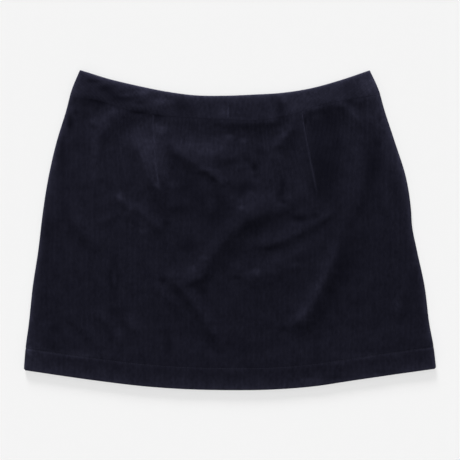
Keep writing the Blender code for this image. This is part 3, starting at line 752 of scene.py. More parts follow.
# ------------------------------------------------------------- folds
def crest_distance(fold, x, y):
    """Signed distance from a fold's crest (left is positive) and the share of its length."""
    start, middle, end = (np.array(place, float) for place in (fold.start, fold.middle, fold.end))
    pull = 2 * middle - (start + end) / 2
    t = np.linspace(0.0, 1.0, CREST_STEPS + 1)[:, None]
    crest = (1 - t) ** 2 * start + 2 * t * (1 - t) * pull + t ** 2 * end
    best = np.full(x.shape, np.inf)
    side = np.zeros(x.shape)
    along = np.zeros(x.shape)
    for step in range(CREST_STEPS):
        run = crest[step + 1] - crest[step]
        dx, dy = x - crest[step][0], y - crest[step][1]
        part = np.clip((dx * run[0] + dy * run[1]) / (run @ run), 0.0, 1.0)
        distance = np.hypot(dx - part * run[0], dy - part * run[1])
        nearer = distance < best
        best = np.where(nearer, distance, best)
        side = np.where(nearer, np.sign(run[0] * dy - run[1] * dx), side)
        along = np.where(nearer, (step + part) / CREST_STEPS, along)
    return best * side, along


def folds_height(folds, x, y):
    """Height that a table of folds adds at each place."""
    height = np.zeros(x.shape)
    for fold in folds:
        distance, along = crest_distance(fold, x, y)
        width = np.where(distance > 0, fold.left_width, fold.right_width)
        taper = ease(0.0, fold.taper, along) * ease(0.0, fold.taper, 1 - along)
        height += fold.height * taper * np.exp(-np.abs(distance / width) ** CREST_POWER)
    return height


def swells_height(swells, x, y):
    """Height that a table of oval swells adds at each place."""
    height = np.zeros(x.shape)
    for swell in swells:
        across = (x - swell.centre[0]) / swell.half_width
        along = (y - swell.centre[1]) / swell.half_length
        height += swell.height * (1 - ease(0.0, 1.0, np.hypot(across, along)))
    return height


def back_folds(x, y):
    """How high the back's folds lift it off what lies beneath, for its panel and its waistband alike."""
    creases = bpy.context.scene.skirt_cloth.creases * folds_height(CREASES, x, y)
    height = folds_height(FOLDS, x, y) + creases + swells_height(SWELLS, x, y)
    return (height + np.sqrt(height ** 2 + FOLD_SOFTNESS)) / 2


def zip_room(x, drop):
    """Extra height near the left waist corner, where the zip's tape and slider lie inside."""
    tape = ZIP_LIFT * ease_out(*BELOW_ZIP, drop - ZIP_LENGTH)
    slider = (SLIDER_LIFT - ZIP_LIFT) * ease_out(*BELOW_SLIDER, drop)
    return (tape + slider) * ease_out(*BESIDE_ZIP, x + LEFT_EDGE(drop))


# ------------------------------------------------------------- meshes
def new_object(name, data):
    item = bpy.data.objects.new(name, data)
    bpy.context.scene.collection.objects.link(item)
    return item


def wall_normals(outer):
    """Normals of a grid whose columns run to +X and whose rows run down the skirt."""

    def tangents(grid):
        steps = np.diff(grid, axis=0)
        steps = steps / np.linalg.norm(steps, axis=2, keepdims=True)
        return np.concatenate([steps[:1], steps]) + np.concatenate([steps, steps[-1:]])

    down = tangents(outer)
    across = tangents(outer.transpose(1, 0, 2)).transpose(1, 0, 2)
    normals = np.cross(down, across)
    return normals / np.linalg.norm(normals, axis=2, keepdims=True)


def make_piece(name, points, faces, cloth_places, nap, materials, face_materials=None, sharp=60.0):
    """Make a mesh object from the millimetre points that faces use, with its cloth map and a pile attribute
    that lightens or darkens the pile: partly its own tone, partly painted light and painted shade.
    """
    faces = np.asarray(faces)
    used, numbers = np.unique(faces, return_inverse=True)
    faces = numbers.reshape(faces.shape)
    points, cloth_places, nap = points[used], cloth_places[used], nap[used]
    mesh = bpy.data.meshes.new(name)
    mesh.from_pydata((points * MM).tolist(), [], faces.tolist())
    layer = mesh.uv_layers.new(name="cloth")
    layer.data.foreach_set("uv", (cloth_places[faces.ravel()] * MM).ravel())
    mesh.attributes.new("nap", "FLOAT", "POINT").data.foreach_set("value", nap)
    for material in materials:
        mesh.materials.append(material)
    if face_materials is not None:
        mesh.polygons.foreach_set("material_index", face_materials)
    mesh.shade_smooth()
    mesh.set_sharp_from_angle(angle=math.radians(sharp))
    mesh.update()
    return new_object(name, mesh)


def wall_faces(shape, used):
    """Quads of the closed wall between two grids over the cells in use: outer, inner and rim."""
    rows, columns = shape
    count = rows * columns
    numbers = np.arange(count).reshape(rows, columns)
    corners = np.stack([numbers[:-1, :-1], numbers[1:, :-1], numbers[1:, 1:], numbers[:-1, 1:]], axis=-1)
    outer = corners[used]
    inner = outer[:, ::-1] + count
    framed = np.pad(used, 1)
    neighbours = (framed[1:-1, :-2], framed[2:, 1:-1], framed[1:-1, 2:], framed[:-2, 1:-1])
    rims = []
    for side, neighbour in enumerate(neighbours):
        edge = corners[used & ~neighbour]
        first, second = edge[:, side], edge[:, (side + 1) % 4]
        rims.append(np.stack([second, first, first + count, second + count], axis=-1))
    return outer, inner, np.concatenate(rims)


def add_wall(name, outer, inner, cloth_places, nap, used, materials):
    """A closed wall with the first material outside and on its rim, and the second inside."""
    groups = wall_faces(outer.shape[:2], used)
    points = np.concatenate([outer.reshape(-1, 3), inner.reshape(-1, 3)])
    places = np.concatenate([cloth_places.reshape(-1, 2)] * 2)
    inside = np.concatenate([np.full(len(group), index == 1) for index, group in enumerate(groups)])
    nap = np.concatenate([nap.ravel()] * 2)
    return make_piece(name, points, np.concatenate(groups), places, nap, materials, inside.astype(np.int32))


# ------------------------------------------------------------- panels
Places = namedtuple("Places", "part x y drop left right from_side from_seam from_hem")


def panel_places(parts, top_line, columns):
    """Where a panel's grid lies in plan, and its distances to the sides, the waist seam and the hem."""
    part = np.asarray(parts, float)[:, None]
    left, right = row_edges(top_line, HEM_LINE, part)
    x = columns(part, left, right)
    share = (x - left) / (right - left)
    drop = mix(top_line(share), HEM_LINE(share), part)
    from_side = np.minimum(x - left, right - x)
    return Places(part, x, LENGTH / 2 - drop, drop, left, right, from_side, drop - top_line(share),
                  HEM_LINE(share) - drop)


def bow(radius, degrees):
    """How far an arc that starts level has risen after this angle."""
    return radius * (1 - math.cos(math.radians(degrees)))


# Columns that turn down at a side: first the edge's curl into the seam, then the roll up to the crown.
Turn = namedtuple("Turn", "inset above_rest below_crown wall")
SIDE_TURNS = (
    Turn(SIDE_CURL, 0.0, None, 0.5),
    Turn(bow(SIDE_CURL, 45), bow(SIDE_CURL, 45), None, 0.7),
    Turn(0.0, SIDE_CURL, None, 1.0),
    Turn(0.0, None, SIDE_ROLL, 1.2),
    Turn(bow(SIDE_ROLL, 30), None, bow(SIDE_ROLL, 60), 1.3),
    Turn(bow(SIDE_ROLL, 60), None, bow(SIDE_ROLL, 30), 1.4),
)
EDGE_COLUMNS = len(SIDE_TURNS)


def with_sides(left, right, columns):
    """Add the columns that turn down at both sides."""
    lefts = [left + turn.inset for turn in SIDE_TURNS]
    rights = [right - turn.inset for turn in reversed(SIDE_TURNS)]
    return np.hstack([*lefts, *columns, *rights])


def dart_shares(part):
    """Share of the width at which each dart's line lies."""
    return [mix(dart.top_share, dart.tip_share, np.minimum(part / dart.tip_part, 1.0)) for dart in DARTS]


def back_columns(part, left, right):
    """x of every column of the back, closer together beside the darts."""
    centres = [mix(left, right, share) for share in dart_shares(part)]
    stops = [left + SIDE_ROLL, *centres, right - SIDE_ROLL]
    shares = [0.0, *(dart.tip_share for dart in DARTS), 1.0]
    columns = []
    for index, (start, end) in enumerate(zip(stops, stops[1:])):
        count = round((shares[index + 1] - shares[index]) * 2 * HEM_CORNER / GRID_STEP)
        first = start + (DART_STOPS[-1] if index > 0 else 0.0)
        last = end + (DART_STOPS[0] if index < len(DARTS) else 0.0)
        columns += [mix(first, last, step / count) for step in range(count + 1)]
        if index < len(DARTS):
            columns += [end + stop for stop in DART_STOPS[1:-1]]
    return with_sides(left, right, columns)


def front_columns(part, left, right):
    """x of every column of the front."""
    count = round(2 * HEM_CORNER / FRONT_STEP)
    start, end = left + SIDE_ROLL, right - SIDE_ROLL
    return with_sides(left, right, [mix(start, end, step / count) for step in range(count + 1)])


def panel_length(top_line):
    return HEM_LINE(0.5) - top_line(0.5)


def panel_grid(top_line, columns, step):
    """Places of a panel's points from the waist seam to the hem's fold, closer at seam and stitches."""
    length = panel_length(top_line)
    stitches = length - HEM_DEPTH
    middle = np.arange(SEAM_ROWS[-1] + step, stitches - STITCH_ROOM, step)
    around = stitches + np.array(STITCH_ROWS)
    low = np.linspace(around[-1] + step, length - HEM_FOLD, round((HEM_DEPTH - STITCH_ROOM) / step))
    return panel_places(np.concatenate([SEAM_ROWS, middle, around, low]) / length, top_line, columns)


def turned_hem(outer, top_line, columns):
    """A panel's rows with the hem's fold below them, and the cloth turned up inside it."""
    turns = np.radians(np.linspace(0, 180, FOLD_TURN + 1))[1:]
    fold = [outer[-1] + HEM_FOLD * np.array([0.0, -math.sin(turn), math.cos(turn) - 1]) for turn in turns]
    parts = 1 - np.array(TURN_UP_ROWS) / panel_length(top_line)
    inside = panel_places(parts, top_line, columns)
    depth = np.broadcast_to(fold[-1][:, 2], inside.x.shape)
    return np.concatenate([outer, fold, np.dstack([inside.x, inside.y, depth])])


def used_cells(outer, rows):
    """A panel's cells, without the turned sides of the cloth inside its hem."""
    used = np.ones((outer.shape[0] - 1, outer.shape[1] - 1), bool)
    used[rows - 1:, :EDGE_COLUMNS] = False
    used[rows - 1:, -EDGE_COLUMNS:] = False
    return used


def cloth_map(outer, places):
    """Place of every point in the flat cloth: across the ribs and along them, measured on the cloth."""
    steps = np.linalg.norm(np.diff(outer[:, :, [0, 2]], axis=1), axis=2)
    run = np.pad(np.cumsum(steps, axis=1), ((0, 0), (1, 0)))
    rows = len(places.x)
    across = np.concatenate([places.x, np.repeat(places.x[-1:], len(outer) - rows, axis=0)])
    edge = EDGE_COLUMNS
    across[:, :edge] = across[:, edge:edge + 1] - (run[:, edge:edge + 1] - run[:, :edge])
    across[:, -edge:] = across[:, -edge - 1:-edge] + (run[:, -edge:] - run[:, -edge - 1:-edge])
    down = np.linalg.norm(np.diff(outer[:, outer.shape[1] // 2], axis=0), axis=1)
    along = outer[:, :, 1].copy()
    for row in range(rows, len(outer)):
        along[row] = along[row - 1] - down[row - 1]
    return np.dstack([across, along])


def dart_pull(places):
    """How far the ribs close in on each dart, because cloth is folded away there."""
    pull = np.zeros(places.x.shape)
    for dart, share in zip(DARTS, dart_shares(places.part)):
        away = places.x - mix(places.left, places.right, share)
        near = np.exp(-(away / DART_REACH) ** 2)
        pull += np.sign(away) * dart.take_up / 2 * near * ease_out(0.0, 1.0, places.part / dart.tip_part)
    return pull


# ------------------------------------------------------------- back
def dart_lift(places):
    """Height of the cloth folded inside the darts, which is pressed to the right of each line."""
    lift = np.zeros(places.x.shape)
    for dart, share in zip(DARTS, dart_shares(places.part)):
        right_of = places.x - mix(places.left, places.right, share)
        right, left = ease_out(*RIGHT_OF_DART, right_of), ease_out(*LEFT_OF_DART, -right_of)
        across = np.where(right_of > 0, right, left)
        lift += DART_ALLOWANCE * across * ease_out(*DART_END, places.part / dart.tip_part)
    return lift


def dart_painted_highlight(places):
    """Painted highlight along the folded edge of each dart."""
    nap = np.zeros(places.x.shape)
    for dart, share in zip(DARTS, dart_shares(places.part)):
        away = np.abs(places.x - mix(places.left, places.right, share) + DART_HIGHLIGHT_SHIFT)
        along = ease_out(*DART_HIGHLIGHT_END, places.part / dart.tip_part)
        nap += dart.open_pile * ease_out(0.0, DART_HIGHLIGHT_WIDTH, away) * along
    return nap


def edge_painted_highlight(from_edge):
    """Painted highlight that grows towards an edge of the skirt."""
    return EDGE_HIGHLIGHT * np.exp(-from_edge / EDGE_HIGHLIGHT_WIDTH)


def towards_sides(x, sizes):
    """A size that grows from the first in the middle to the second at the hem's corners."""
    return mix(*sizes, (x / HEM_CORNER) ** 2)


def back_painted_light_and_shade(places):
    """Painted highlights on the back along its darts, edges, hem, hem stitches and the hip on +X, and
    painted shade along the waist seam.
    """
    nap = edge_painted_highlight(np.minimum(places.from_side, places.from_hem + HEM_ROUND)) + dart_painted_highlight(places)
    nap += HEM_PAINTED_LIGHT * ease_out(0, HEM_DEPTH, places.from_hem)
    hip = (places.x > 0) * ease(*HIP_HIGHLIGHT_START, places.y)
    nap += HIP_HIGHLIGHT * hip * ease_out(0, HIP_HIGHLIGHT_WIDTH, places.from_side)
    from_stitches = places.from_hem - HEM_DEPTH + STITCH_HIGHLIGHT_SHIFT
    nap += towards_sides(places.x, STITCH_HIGHLIGHT) * np.exp(-(from_stitches / STITCH_HIGHLIGHT_WIDTH) ** 2)
    return nap - SEAM_SHADE * ease_out(0.0, SEAM_SHADE_WIDTH, places.from_seam)


def stitch_groove(places, depth):
    """How far the outer face sinks beside the hem's stitches, for a groove that is this deep."""
    return depth * ease_out(0.0, GROOVE_WIDTH, np.abs(places.from_hem - HEM_DEPTH))


# Random unevenness in millimetres. It can only lift the cloth, from a base that leaves few flat places.
Rumple = namedtuple("Rumple", "height size seed")
UNEVEN_BASE = 0.25
UNEVEN = (
    Rumple(0.25, 26.0, 5),
    Rumple(0.12, 11.0, 8),
)
PUCKER = Rumple(0.3, 24.0, 12)
PUCKER_SLIMNESS = 3.0     # how many times narrower than long
PUCKER_LENGTH = 14.0      # over which they die away
UNEVEN_FROM_SIDE = (0, 12)
UNEVEN_FROM_SEAM = (0, 4)


def fine_unevenness(places):
    """Small unevenness of the laid cloth, and puckers that run down from the waist seam."""
    x, y = places.x, places.y
    uneven = UNEVEN_BASE + sum(wave.height * rumple(x, y, wave.size, wave.seed) for wave in UNEVEN)
    pucker = PUCKER.height * rumple(x * PUCKER_SLIMNESS, y, PUCKER.size, PUCKER.seed)
    pucker *= np.exp(-places.from_seam / PUCKER_LENGTH)
    fade = ease(*UNEVEN_FROM_SIDE, places.from_side) * ease(*UNEVEN_FROM_SEAM, places.from_seam)
    return (np.maximum(uneven, 0) + np.abs(pucker)) * fade


def back_height(places):
    """Height of the back's outer face before its grooves."""
    at_seam = (SEAM_REST - BODY_REST) * ease_out(*BELOW_SEAM, places.from_seam)
    at_seam += (BAND_REST + BAND_CLOTH - SEAM_REST - CLOTH) * ease_out(*UNDER_BAND, places.from_seam)
    at_hem = (HEM_REST - BODY_REST) * ease_out(*ABOVE_HEM, places.from_hem - HEM_DEPTH)
    at_side = SIDE_ALLOWANCE * ease_out(*BESIDE_SIDE, places.from_side)
    rest = BODY_REST + np.maximum(np.maximum(at_seam, at_hem), at_side)
    fade = ease(*FOLDS_FROM_SIDE, places.from_side) * ease(*FOLDS_FROM_HEM, places.from_hem - HEM_DEPTH)
    lift = back_folds(places.x, places.y) * fade
    lift += bpy.context.scene.skirt_cloth.creases * fine_unevenness(places)
    return rest + CLOTH + lift + zip_room(places.x, places.drop) + dart_lift(places)


def turn_sides(top, rest):
    """Roll both sides of a panel down from their crowns and curl their edges into the side seams."""
    for column, turn in enumerate(SIDE_TURNS):
        for index, crown in ((column, EDGE_COLUMNS), (-1 - column, -1 - EDGE_COLUMNS)):
            if turn.below_crown is None:
                top[:, index] = rest + turn.above_rest
            else:
                top[:, index] = top[:, crown] - turn.below_crown
    return top


def wall_thickness(shape, edges):
    """The cloth's thickness, which thins towards the seams at the sides as edges gives."""
    thick = np.full(shape, CLOTH)
    thick[:, :EDGE_COLUMNS] = edges
    thick[:, -EDGE_COLUMNS:] = edges[::-1]
    return thick[:, :, None]


def back_cloth():
    """The back: darts, folds, a turned-up hem and sides that roll down to the front."""
    places = panel_grid(SEAM_LINE, back_columns, GRID_STEP)
    rows = len(places.x)
    top = turn_sides(back_height(places), BODY_REST)
    outer = turned_hem(np.dstack([places.x, places.y, top]), SEAM_LINE, back_columns)
    normals = wall_normals(outer)
    inner = outer - wall_thickness(outer.shape[:2], [turn.wall for turn in SIDE_TURNS]) * normals
    cloth_places = cloth_map(outer, places)
    cloth_places[:rows, :, 0] += dart_pull(places)
    sink = SEAM_ROUND * ease_out(0.0, SEAM_ROUND_WIDTH, places.from_seam)
    sink += stitch_groove(places, towards_sides(places.x, BACK_GROOVE))
    outer[:rows] -= sink[:, :, None] * normals[:rows]
    # Pile patches, partly painted light and painted shade, then the back's painted highlights and painted
    # seam shade.
    nap = swells_height(NAP_AND_PAINTED_SHADE, outer[:, :, 0], outer[:, :, 1])
    nap[:rows] += back_painted_light_and_shade(places)
    # Painted highlight over the hem's fold and the cloth turned up inside it.
    nap[rows:] += EDGE_HIGHLIGHT
    return outer, inner, cloth_places, nap, used_cells(outer, rows)


# ------------------------------------------------------------- front
# How far the columns at its sides sink from its outer face, and the walls of the first and last of them.
FRONT_EDGE_SINK = (1.40, 1.12, 0.77, 0.49, 0.20, 0.05)
FRONT_EDGE_WALLS = (0.2, 1.3)


def front_cloth():
    """The front, which lies flat with its outer face down. It is made face up and turned over."""
    top_line = dipped(SEAM_LINE)
    places = panel_grid(top_line, front_columns, FRONT_STEP)
    rows = len(places.x)
    top = np.zeros(places.x.shape)
    for column, sink in enumerate(FRONT_EDGE_SINK):
        top[:, [column, -1 - column]] = -sink
    outer = turned_hem(np.dstack([places.x, places.y, top]), top_line, front_columns)
    normals = wall_normals(outer)
    walls = np.linspace(*FRONT_EDGE_WALLS, EDGE_COLUMNS)
    inner = outer - wall_thickness(outer.shape[:2], walls) * normals
    inner[:, :, 2] = np.maximum(inner[:, :, 2], outer[:, :, 2].min() - CLOTH)
    outer[:rows] -= stitch_groove(places, FRONT_GROOVE)[:, :, None] * normals[:rows]
    turned = np.array([1.0, 1.0, -1.0])
    nap = np.zeros(outer.shape[:2])
    return outer * turned, inner * turned, cloth_map(outer, places), nap, used_cells(outer, rows)


# ------------------------------------------------------------- waistbands
# How the outer face rounds into the waist seam: distance from the seam, drop, and how the ribs show.
SeamRound = namedtuple("SeamRound", "from_seam drop show")
BAND_SEAM = (
    SeamRound(0.0, 0.12, 0.6),
    SeamRound(0.3, 0.04, 1.0),
    SeamRound(1.1, 0.0, 1.0),
)
BAND_SEAM_INSIDE = 0.75   # how far the inner face rises to the seam
BAND_FLAT_START = 3.0     # first of the outer face's rows above the seam
BAND_OUTER_ROWS = 12
BAND_INNER_ROWS = 5
BAND_FOLD_STEPS = 10
RIBS_END = (100, 170)     # degrees round the folded edge between which the ribs die away

# A point of the section: distance below the folded edge, height from the middle plane, the outward
# direction in those two, and how strongly the ribs show.
Rim = namedtuple("Rim", "below height out_below out_height show")


def band_section(depth):
    """Points round a waistband's section, from the seam over the outer face and back underneath."""
    half = BAND_CLOTH / 2
    edge = BAND_EDGE + 2.0
    inner_end = depth - BAND_SEAM[-1].from_seam
    points = [Rim(depth - row.from_seam, half - row.drop, 0.0, 1.0, row.show) for row in BAND_SEAM]
    stops = np.linspace(depth - BAND_FLAT_START, edge, BAND_OUTER_ROWS)
    points += [Rim(stop, half, 0.0, 1.0, 1.0) for stop in stops]
    for angle in np.radians(np.linspace(0, 180, BAND_FOLD_STEPS + 1)):
        show = ease_out(*RIBS_END, math.degrees(angle))
        below = BAND_EDGE * (1 - math.sin(angle))
        points.append(Rim(below, half * math.cos(angle), -math.sin(angle), math.cos(angle), show))
    points += [Rim(stop, -half, 0.0, -1.0, 0.0) for stop in np.linspace(edge, inner_end, BAND_INNER_ROWS)]
    points.append(Rim(depth, -half + BAND_SEAM_INSIDE, 0.7, -0.7, 0.0))
    return [np.array(column)[:, None] for column in zip(*points)]


def band_shares(start, end, pitch):
    """Shares of the width and distances along the band, with points on the ribs' crests and grooves."""
    fine = np.linspace(0.0, 1.0, 2001)
    left, right = row_edges(WAIST_LINE, SEAM_LINE, 0.5)
    x = mix(left, right, fine)
    y = (WAIST_LINE(fine) + SEAM_LINE(fine)) / 2
    run = np.pad(np.cumsum(np.hypot(np.diff(x), np.diff(y))), (1, 0))
    first, last = np.interp([start, end], fine, run)
    step = pitch / RIB_POINTS
    stops = np.arange(math.ceil((first + step) / step), math.floor((last - step) / step) + 1) * step
    stops = np.concatenate([[first, first + step * 0.4], stops[1:-1], [last - step * 0.4, last]])
    return np.interp(stops, run, fine), stops


def band_faces(rows, columns):
    """Quads round a closed strip of grid points, and across its two ends."""
    numbers = np.arange(rows * columns).reshape(rows, columns)
    above = np.roll(numbers, -1, axis=0)
    around = np.stack([numbers[:, :-1], numbers[:, 1:], above[:, 1:], above[:, :-1]], axis=-1)
    caps = []
    for column, order in ((0, 1), (columns - 1, -1)):
        for row in range(rows // 2 - 1):
            quad = [row, row + 1, rows - 2 - row, rows - 1 - row]
            caps.append(numbers[quad, column][::order])
    return np.concatenate([around.reshape(-1, 4), caps])


Band = namedtuple("Band", "name node start end top_line low_line rest face")


def add_band(band, material):
    """A strip of waistband between two shares of the width, with its outer face up (1) or down (-1)."""
    cloth = bpy.context.scene.skirt_cloth
    pitch = cloth.wale_pitch / MM
    depth = band.low_line(0.5) - band.top_line(0.5)
    share, along = band_shares(band.start, band.end, pitch)
    below, height, out_below, out_height, show = band_section(depth)
    groove = (1 - np.abs(np.sin(math.pi * along / pitch)) ** RIB_SHAPE) * cloth.wale_height / MM
    ends = np.zeros(len(share))
    ends[[0, -1]] = BAND_END
    sink = groove * show + ends
    below = below - out_below * sink
    height = height - out_height * sink
    left, right = row_edges(band.top_line, band.low_line, below / depth)
    x = mix(left, right, share)
    top_drop = band.top_line(share)
    drop = mix(top_drop, band.low_line(share), below / depth)
    from_side = np.minimum(x - left, right - x)
    lift = 0.0
    if band.face > 0:
        fade = ease(*FOLDS_FROM_SIDE, from_side) * ease(*FOLDS_FROM_WAIST, drop - top_drop)
        lift = zip_room(x, drop) + back_folds(x, LENGTH / 2 - drop) * fade
    points = np.dstack([x, LENGTH / 2 - drop, band.rest + lift + BAND_CLOTH / 2 + band.face * height])
    faces = band_faces(*x.shape)[:, ::band.face]
    around = np.pad(np.cumsum(np.hypot(np.diff(below[:, 0]), np.diff(height[:, 0]))), (1, 0))
    places = np.dstack(np.broadcast_arrays(along, around[:, None]))
    # Pile patches, partly painted light and painted shade, a painted highlight along the band's edges, and
    # painted shade along its side of the waist seam.
    nap = swells_height(NAP_AND_PAINTED_SHADE, x, LENGTH / 2 - drop) + edge_painted_highlight(np.minimum(from_side, drop - top_drop))
    nap -= BAND_SHADE * ease_out(0.0, BAND_SHADE_WIDTH, depth - below)
    return make_piece(
        band.name, points.reshape(-1, 3), faces, places.reshape(-1, 2), nap.ravel(), [material], sharp=70.0)


# ------------------------------------------------------------- zip
STEP_DOWN = (6, 22)       # below the waist seam, where the tape comes down from the waistband to the panel
TAPE_ROWS = 80
COIL_POINTS = 90
COIL_START = SLIDER_END + 2.0
COIL_END = ZIP_LENGTH - 4.0
COIL_INSET = ZIP_INSET + 3.0
COIL_HEIGHT = 0.5         # of its middle, from the tape's underside
COIL_SIZE = (0.0030, 0.0005)              # width and thickness in metres


def layer_below(drop):
    """Height of the zip's underside along the left side seam."""
    return mix(BAND_CLOTH, FRONT_TOP, float(ease(*STEP_DOWN, drop - SEAM_LINE(0.0)))) + SEAM_GAP


def zip_point(drop, inset, height):
    """A point of the zip, which lies along the left side seam."""
    return (inset - LEFT_EDGE(drop), LENGTH / 2 - drop - inset * ZIP_LEAN, layer_below(drop) + height)


Selvage = namedtuple("Selvage", "inset height")
TAPE_SECTION = (
    Selvage(0.0, 0.2),
    Selvage(0.6, 0.42),
    Selvage(1.2, 0.34),
    Selvage(3.5, 0.3),
    Selvage(5.0, 0.3),
    Selvage(6.5, 0.3),
    Selvage(8.8, 0.34),
    Selvage(9.4, 0.42),
    Selvage(ZIP_WIDTH, 0.2),
)


def zip_tape(material):
    """The woven tape under the coil, a little thicker along its edges."""
    drops = np.linspace(SLIDER_END, ZIP_LENGTH, TAPE_ROWS)
    insets = [ZIP_INSET + place.inset for place in TAPE_SECTION]
    outer = np.array([[zip_point(drop, ZIP_INSET + place.inset, place.height) for place in TAPE_SECTION]
                      for drop in drops])
    inner = np.array([[zip_point(drop, inset, 0.0) for inset in insets] for drop in drops])
    places = np.dstack(np.meshgrid(insets, -drops))
    used = np.ones((len(drops) - 1, len(insets) - 1), bool)
    nap = np.zeros(outer.shape[:2])
    return add_wall("zip_tape_cloth", outer, inner, places, nap, used, [material, material])


# ------------------------------------------------------------- repeats along a line
def tree_inputs(tree, inputs):
    """Give a geometry tree its sockets and return a wire for each input."""
    tree.interface.new_socket("Geometry", in_out="INPUT", socket_type="NodeSocketGeometry")
    for name, kind in inputs:
        tree.interface.new_socket(name, in_out="INPUT", socket_type=kind)
    tree.interface.new_socket("Geometry", in_out="OUTPUT", socket_type="NodeSocketGeometry")
    graph = Graph(tree)
    names = ("Geometry", *(name for name, kind in inputs))
    return graph, dict(zip(names, graph.add("NodeGroupInput", output=names)))


BEAD = {"Segments": 8, "Rings": 6}


def repeat_tree(name, turned):
    """A tree that sets small rounded beads along a line, along it or, when turned, across it."""
    tree = bpy.data.node_groups.new(name, "GeometryNodeTree")
    floats = ("Step", "Length", "Width", "Height", "Loose")
    graph, given = tree_inputs(
        tree, [*((label, "NodeSocketFloat") for label in floats), ("Seed", "NodeSocketInt"),
               ("Finish", "NodeSocketMaterial")])
    line = graph.add("GeometryNodeMeshToCurve", values={"Mesh": given["Geometry"]})
    spots, tangent = graph.add(
        "GeometryNodeCurveToPoints", {"mode": "LENGTH"}, {"Curve": line, "Length": given["Step"]},
        output=("Points", "Tangent"))
    facing = graph.add(
        "FunctionNodeAlignRotationToVector", {"axis": "Y" if turned else "X", "pivot_axis": "Z"},
        {"Vector": tangent}, output="Rotation")
    wobble = graph.add(
        "FunctionNodeRandomValue", {"data_type": "FLOAT"},
        {"Min": given["Loose"] * -1.0, "Max": given["Loose"], "Seed": given["Seed"]}, output="Value")
    turn = graph.add("ShaderNodeCombineXYZ", values={"Z": wobble})
    facing = graph.add(
        "FunctionNodeRotateRotation", values={"Rotation": facing, "Rotate By": turn}, output="Rotation")
    bead = graph.add("GeometryNodeMeshUVSphere", values={**BEAD, "Radius": 0.5}, output="Mesh")
    size = graph.add(
        "ShaderNodeCombineXYZ", values={"X": given["Length"], "Y": given["Width"], "Z": given["Height"]})
    bead = graph.add("GeometryNodeTransform", values={"Geometry": bead, "Scale": size})
    beads = graph.add(
        "GeometryNodeInstanceOnPoints", values={"Points": spots, "Instance": bead, "Rotation": facing})
    beads = graph.add("GeometryNodeRealizeInstances", values={"Geometry": beads})
    beads = graph.add("GeometryNodeSetShadeSmooth", values={"Geometry": beads})
    beads = graph.add("GeometryNodeSetMaterial", values={"Geometry": beads, "Material": given["Finish"]})
    graph.add("NodeGroupOutput", values={"Geometry": beads})
    return tree


def run_along(name, tree, points, settings):
    """Run a tree on a line of millimetre points and return its result as a plain mesh object."""
    points = np.asarray(points, float) * MM
    path = bpy.data.meshes.new(name + "_path")
    path.from_pydata(points.tolist(), [(index, index + 1) for index in range(len(points) - 1)], [])
    guide = new_object(name + "_path", path)
    modifier = guide.modifiers.new("repeat", "NODES")
    modifier.node_group = tree
    for socket in tree.interface.items_tree:
        if socket.in_out == "INPUT" and socket.name in settings:
            modifier[socket.identifier] = settings[socket.name]
    graph = bpy.context.evaluated_depsgraph_get()
    mesh = bpy.data.meshes.new_from_object(guide.evaluated_get(graph))
    mesh.name = name
    guide.modifiers.remove(modifier)
    bpy.data.objects.remove(guide, do_unlink=True)
    return new_object(name, mesh)


def hem_line(top_line, columns, line_height):
    """The hem's line of stitching on a panel, from one side roll to the other."""
    places = panel_places([1 - HEM_DEPTH / panel_length(top_line)], top_line, columns)
    line = np.dstack([places.x, places.y, line_height(places)])[0]
    return line[EDGE_COLUMNS + 1:-EDGE_COLUMNS - 1]


def back_line_height(places):
    """Height of the back's stitches, just in their groove."""
    return back_height(places) - towards_sides(places.x, BACK_GROOVE)


def front_line_height(places):
    """Height of the front's stitches, inside their groove on the underside."""
    return np.full(places.x.shape, FRONT_GROOVE - THREAD_SHOWS)


# ------------------------------------------------------------- operators
def settle(piece, nodes):
    """A piece stands for its solids, which are hidden, and rides on the skirt."""
    if nodes:
        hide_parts(*nodes)
    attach(piece, "root")


class SKIRT_OT_back(bpy.types.Operator):
    """Make the back's cloth with its darts, folds and turned-up hem"""

    bl_idname = "skirt.back"
    bl_label = "Back"

    def execute(self, context):
        finish = cord_finish("navy_needlecord", context.scene.skirt_cloth.wale_height, 0.97)
        wrong = weave_finish("navy_cord_wrong_side", (0.010, 0.010, 0.018))
        piece = add_wall("back_cloth", *back_cloth(), [finish, wrong])
        settle(piece, ["back_panel"])
        return {"FINISHED"}


class SKIRT_OT_front(bpy.types.Operator):
    """Make the front's cloth, which lies flat underneath"""

    bl_idname = "skirt.front"
    bl_label = "Front"

    def execute(self, context):
        finish = bpy.data.materials["navy_needlecord"]
        wrong = bpy.data.materials["navy_cord_wrong_side"]
        piece = add_wall("front_cloth", *front_cloth(), [finish, wrong])
        settle(piece, ["front_panel"])
        return {"FINISHED"}


class SKIRT_OT_waistbands(bpy.types.Operator):
    """Make the three waistbands, with real ribs that turn over their folded edges"""

    bl_idname = "skirt.waistbands"
    bl_label = "Waistbands"

    def execute(self, context):
        finish = cord_finish("navy_needlecord_band", 0.0, 0.93)
        front_top, front_low = dipped(WAIST_LINE), dipped(SEAM_LINE)
        back = (WAIST_LINE, SEAM_LINE, BAND_REST, 1)
        bands = (
            Band("back_band_left", "back_waistband_left", 0.0, CENTRE_SEAM, *back),
            Band("back_band_right", "back_waistband_right", CENTRE_SEAM, 1.0, *back),
            Band("front_band", "front_waistband", 0.0, 1.0, front_top, front_low, 0.0, -1),
        )
        for band in bands:
            piece = add_band(band, finish)
            settle(piece, [band.node])
            round(0.424 * (band.end - band.start), 3)
        return {"FINISHED"}


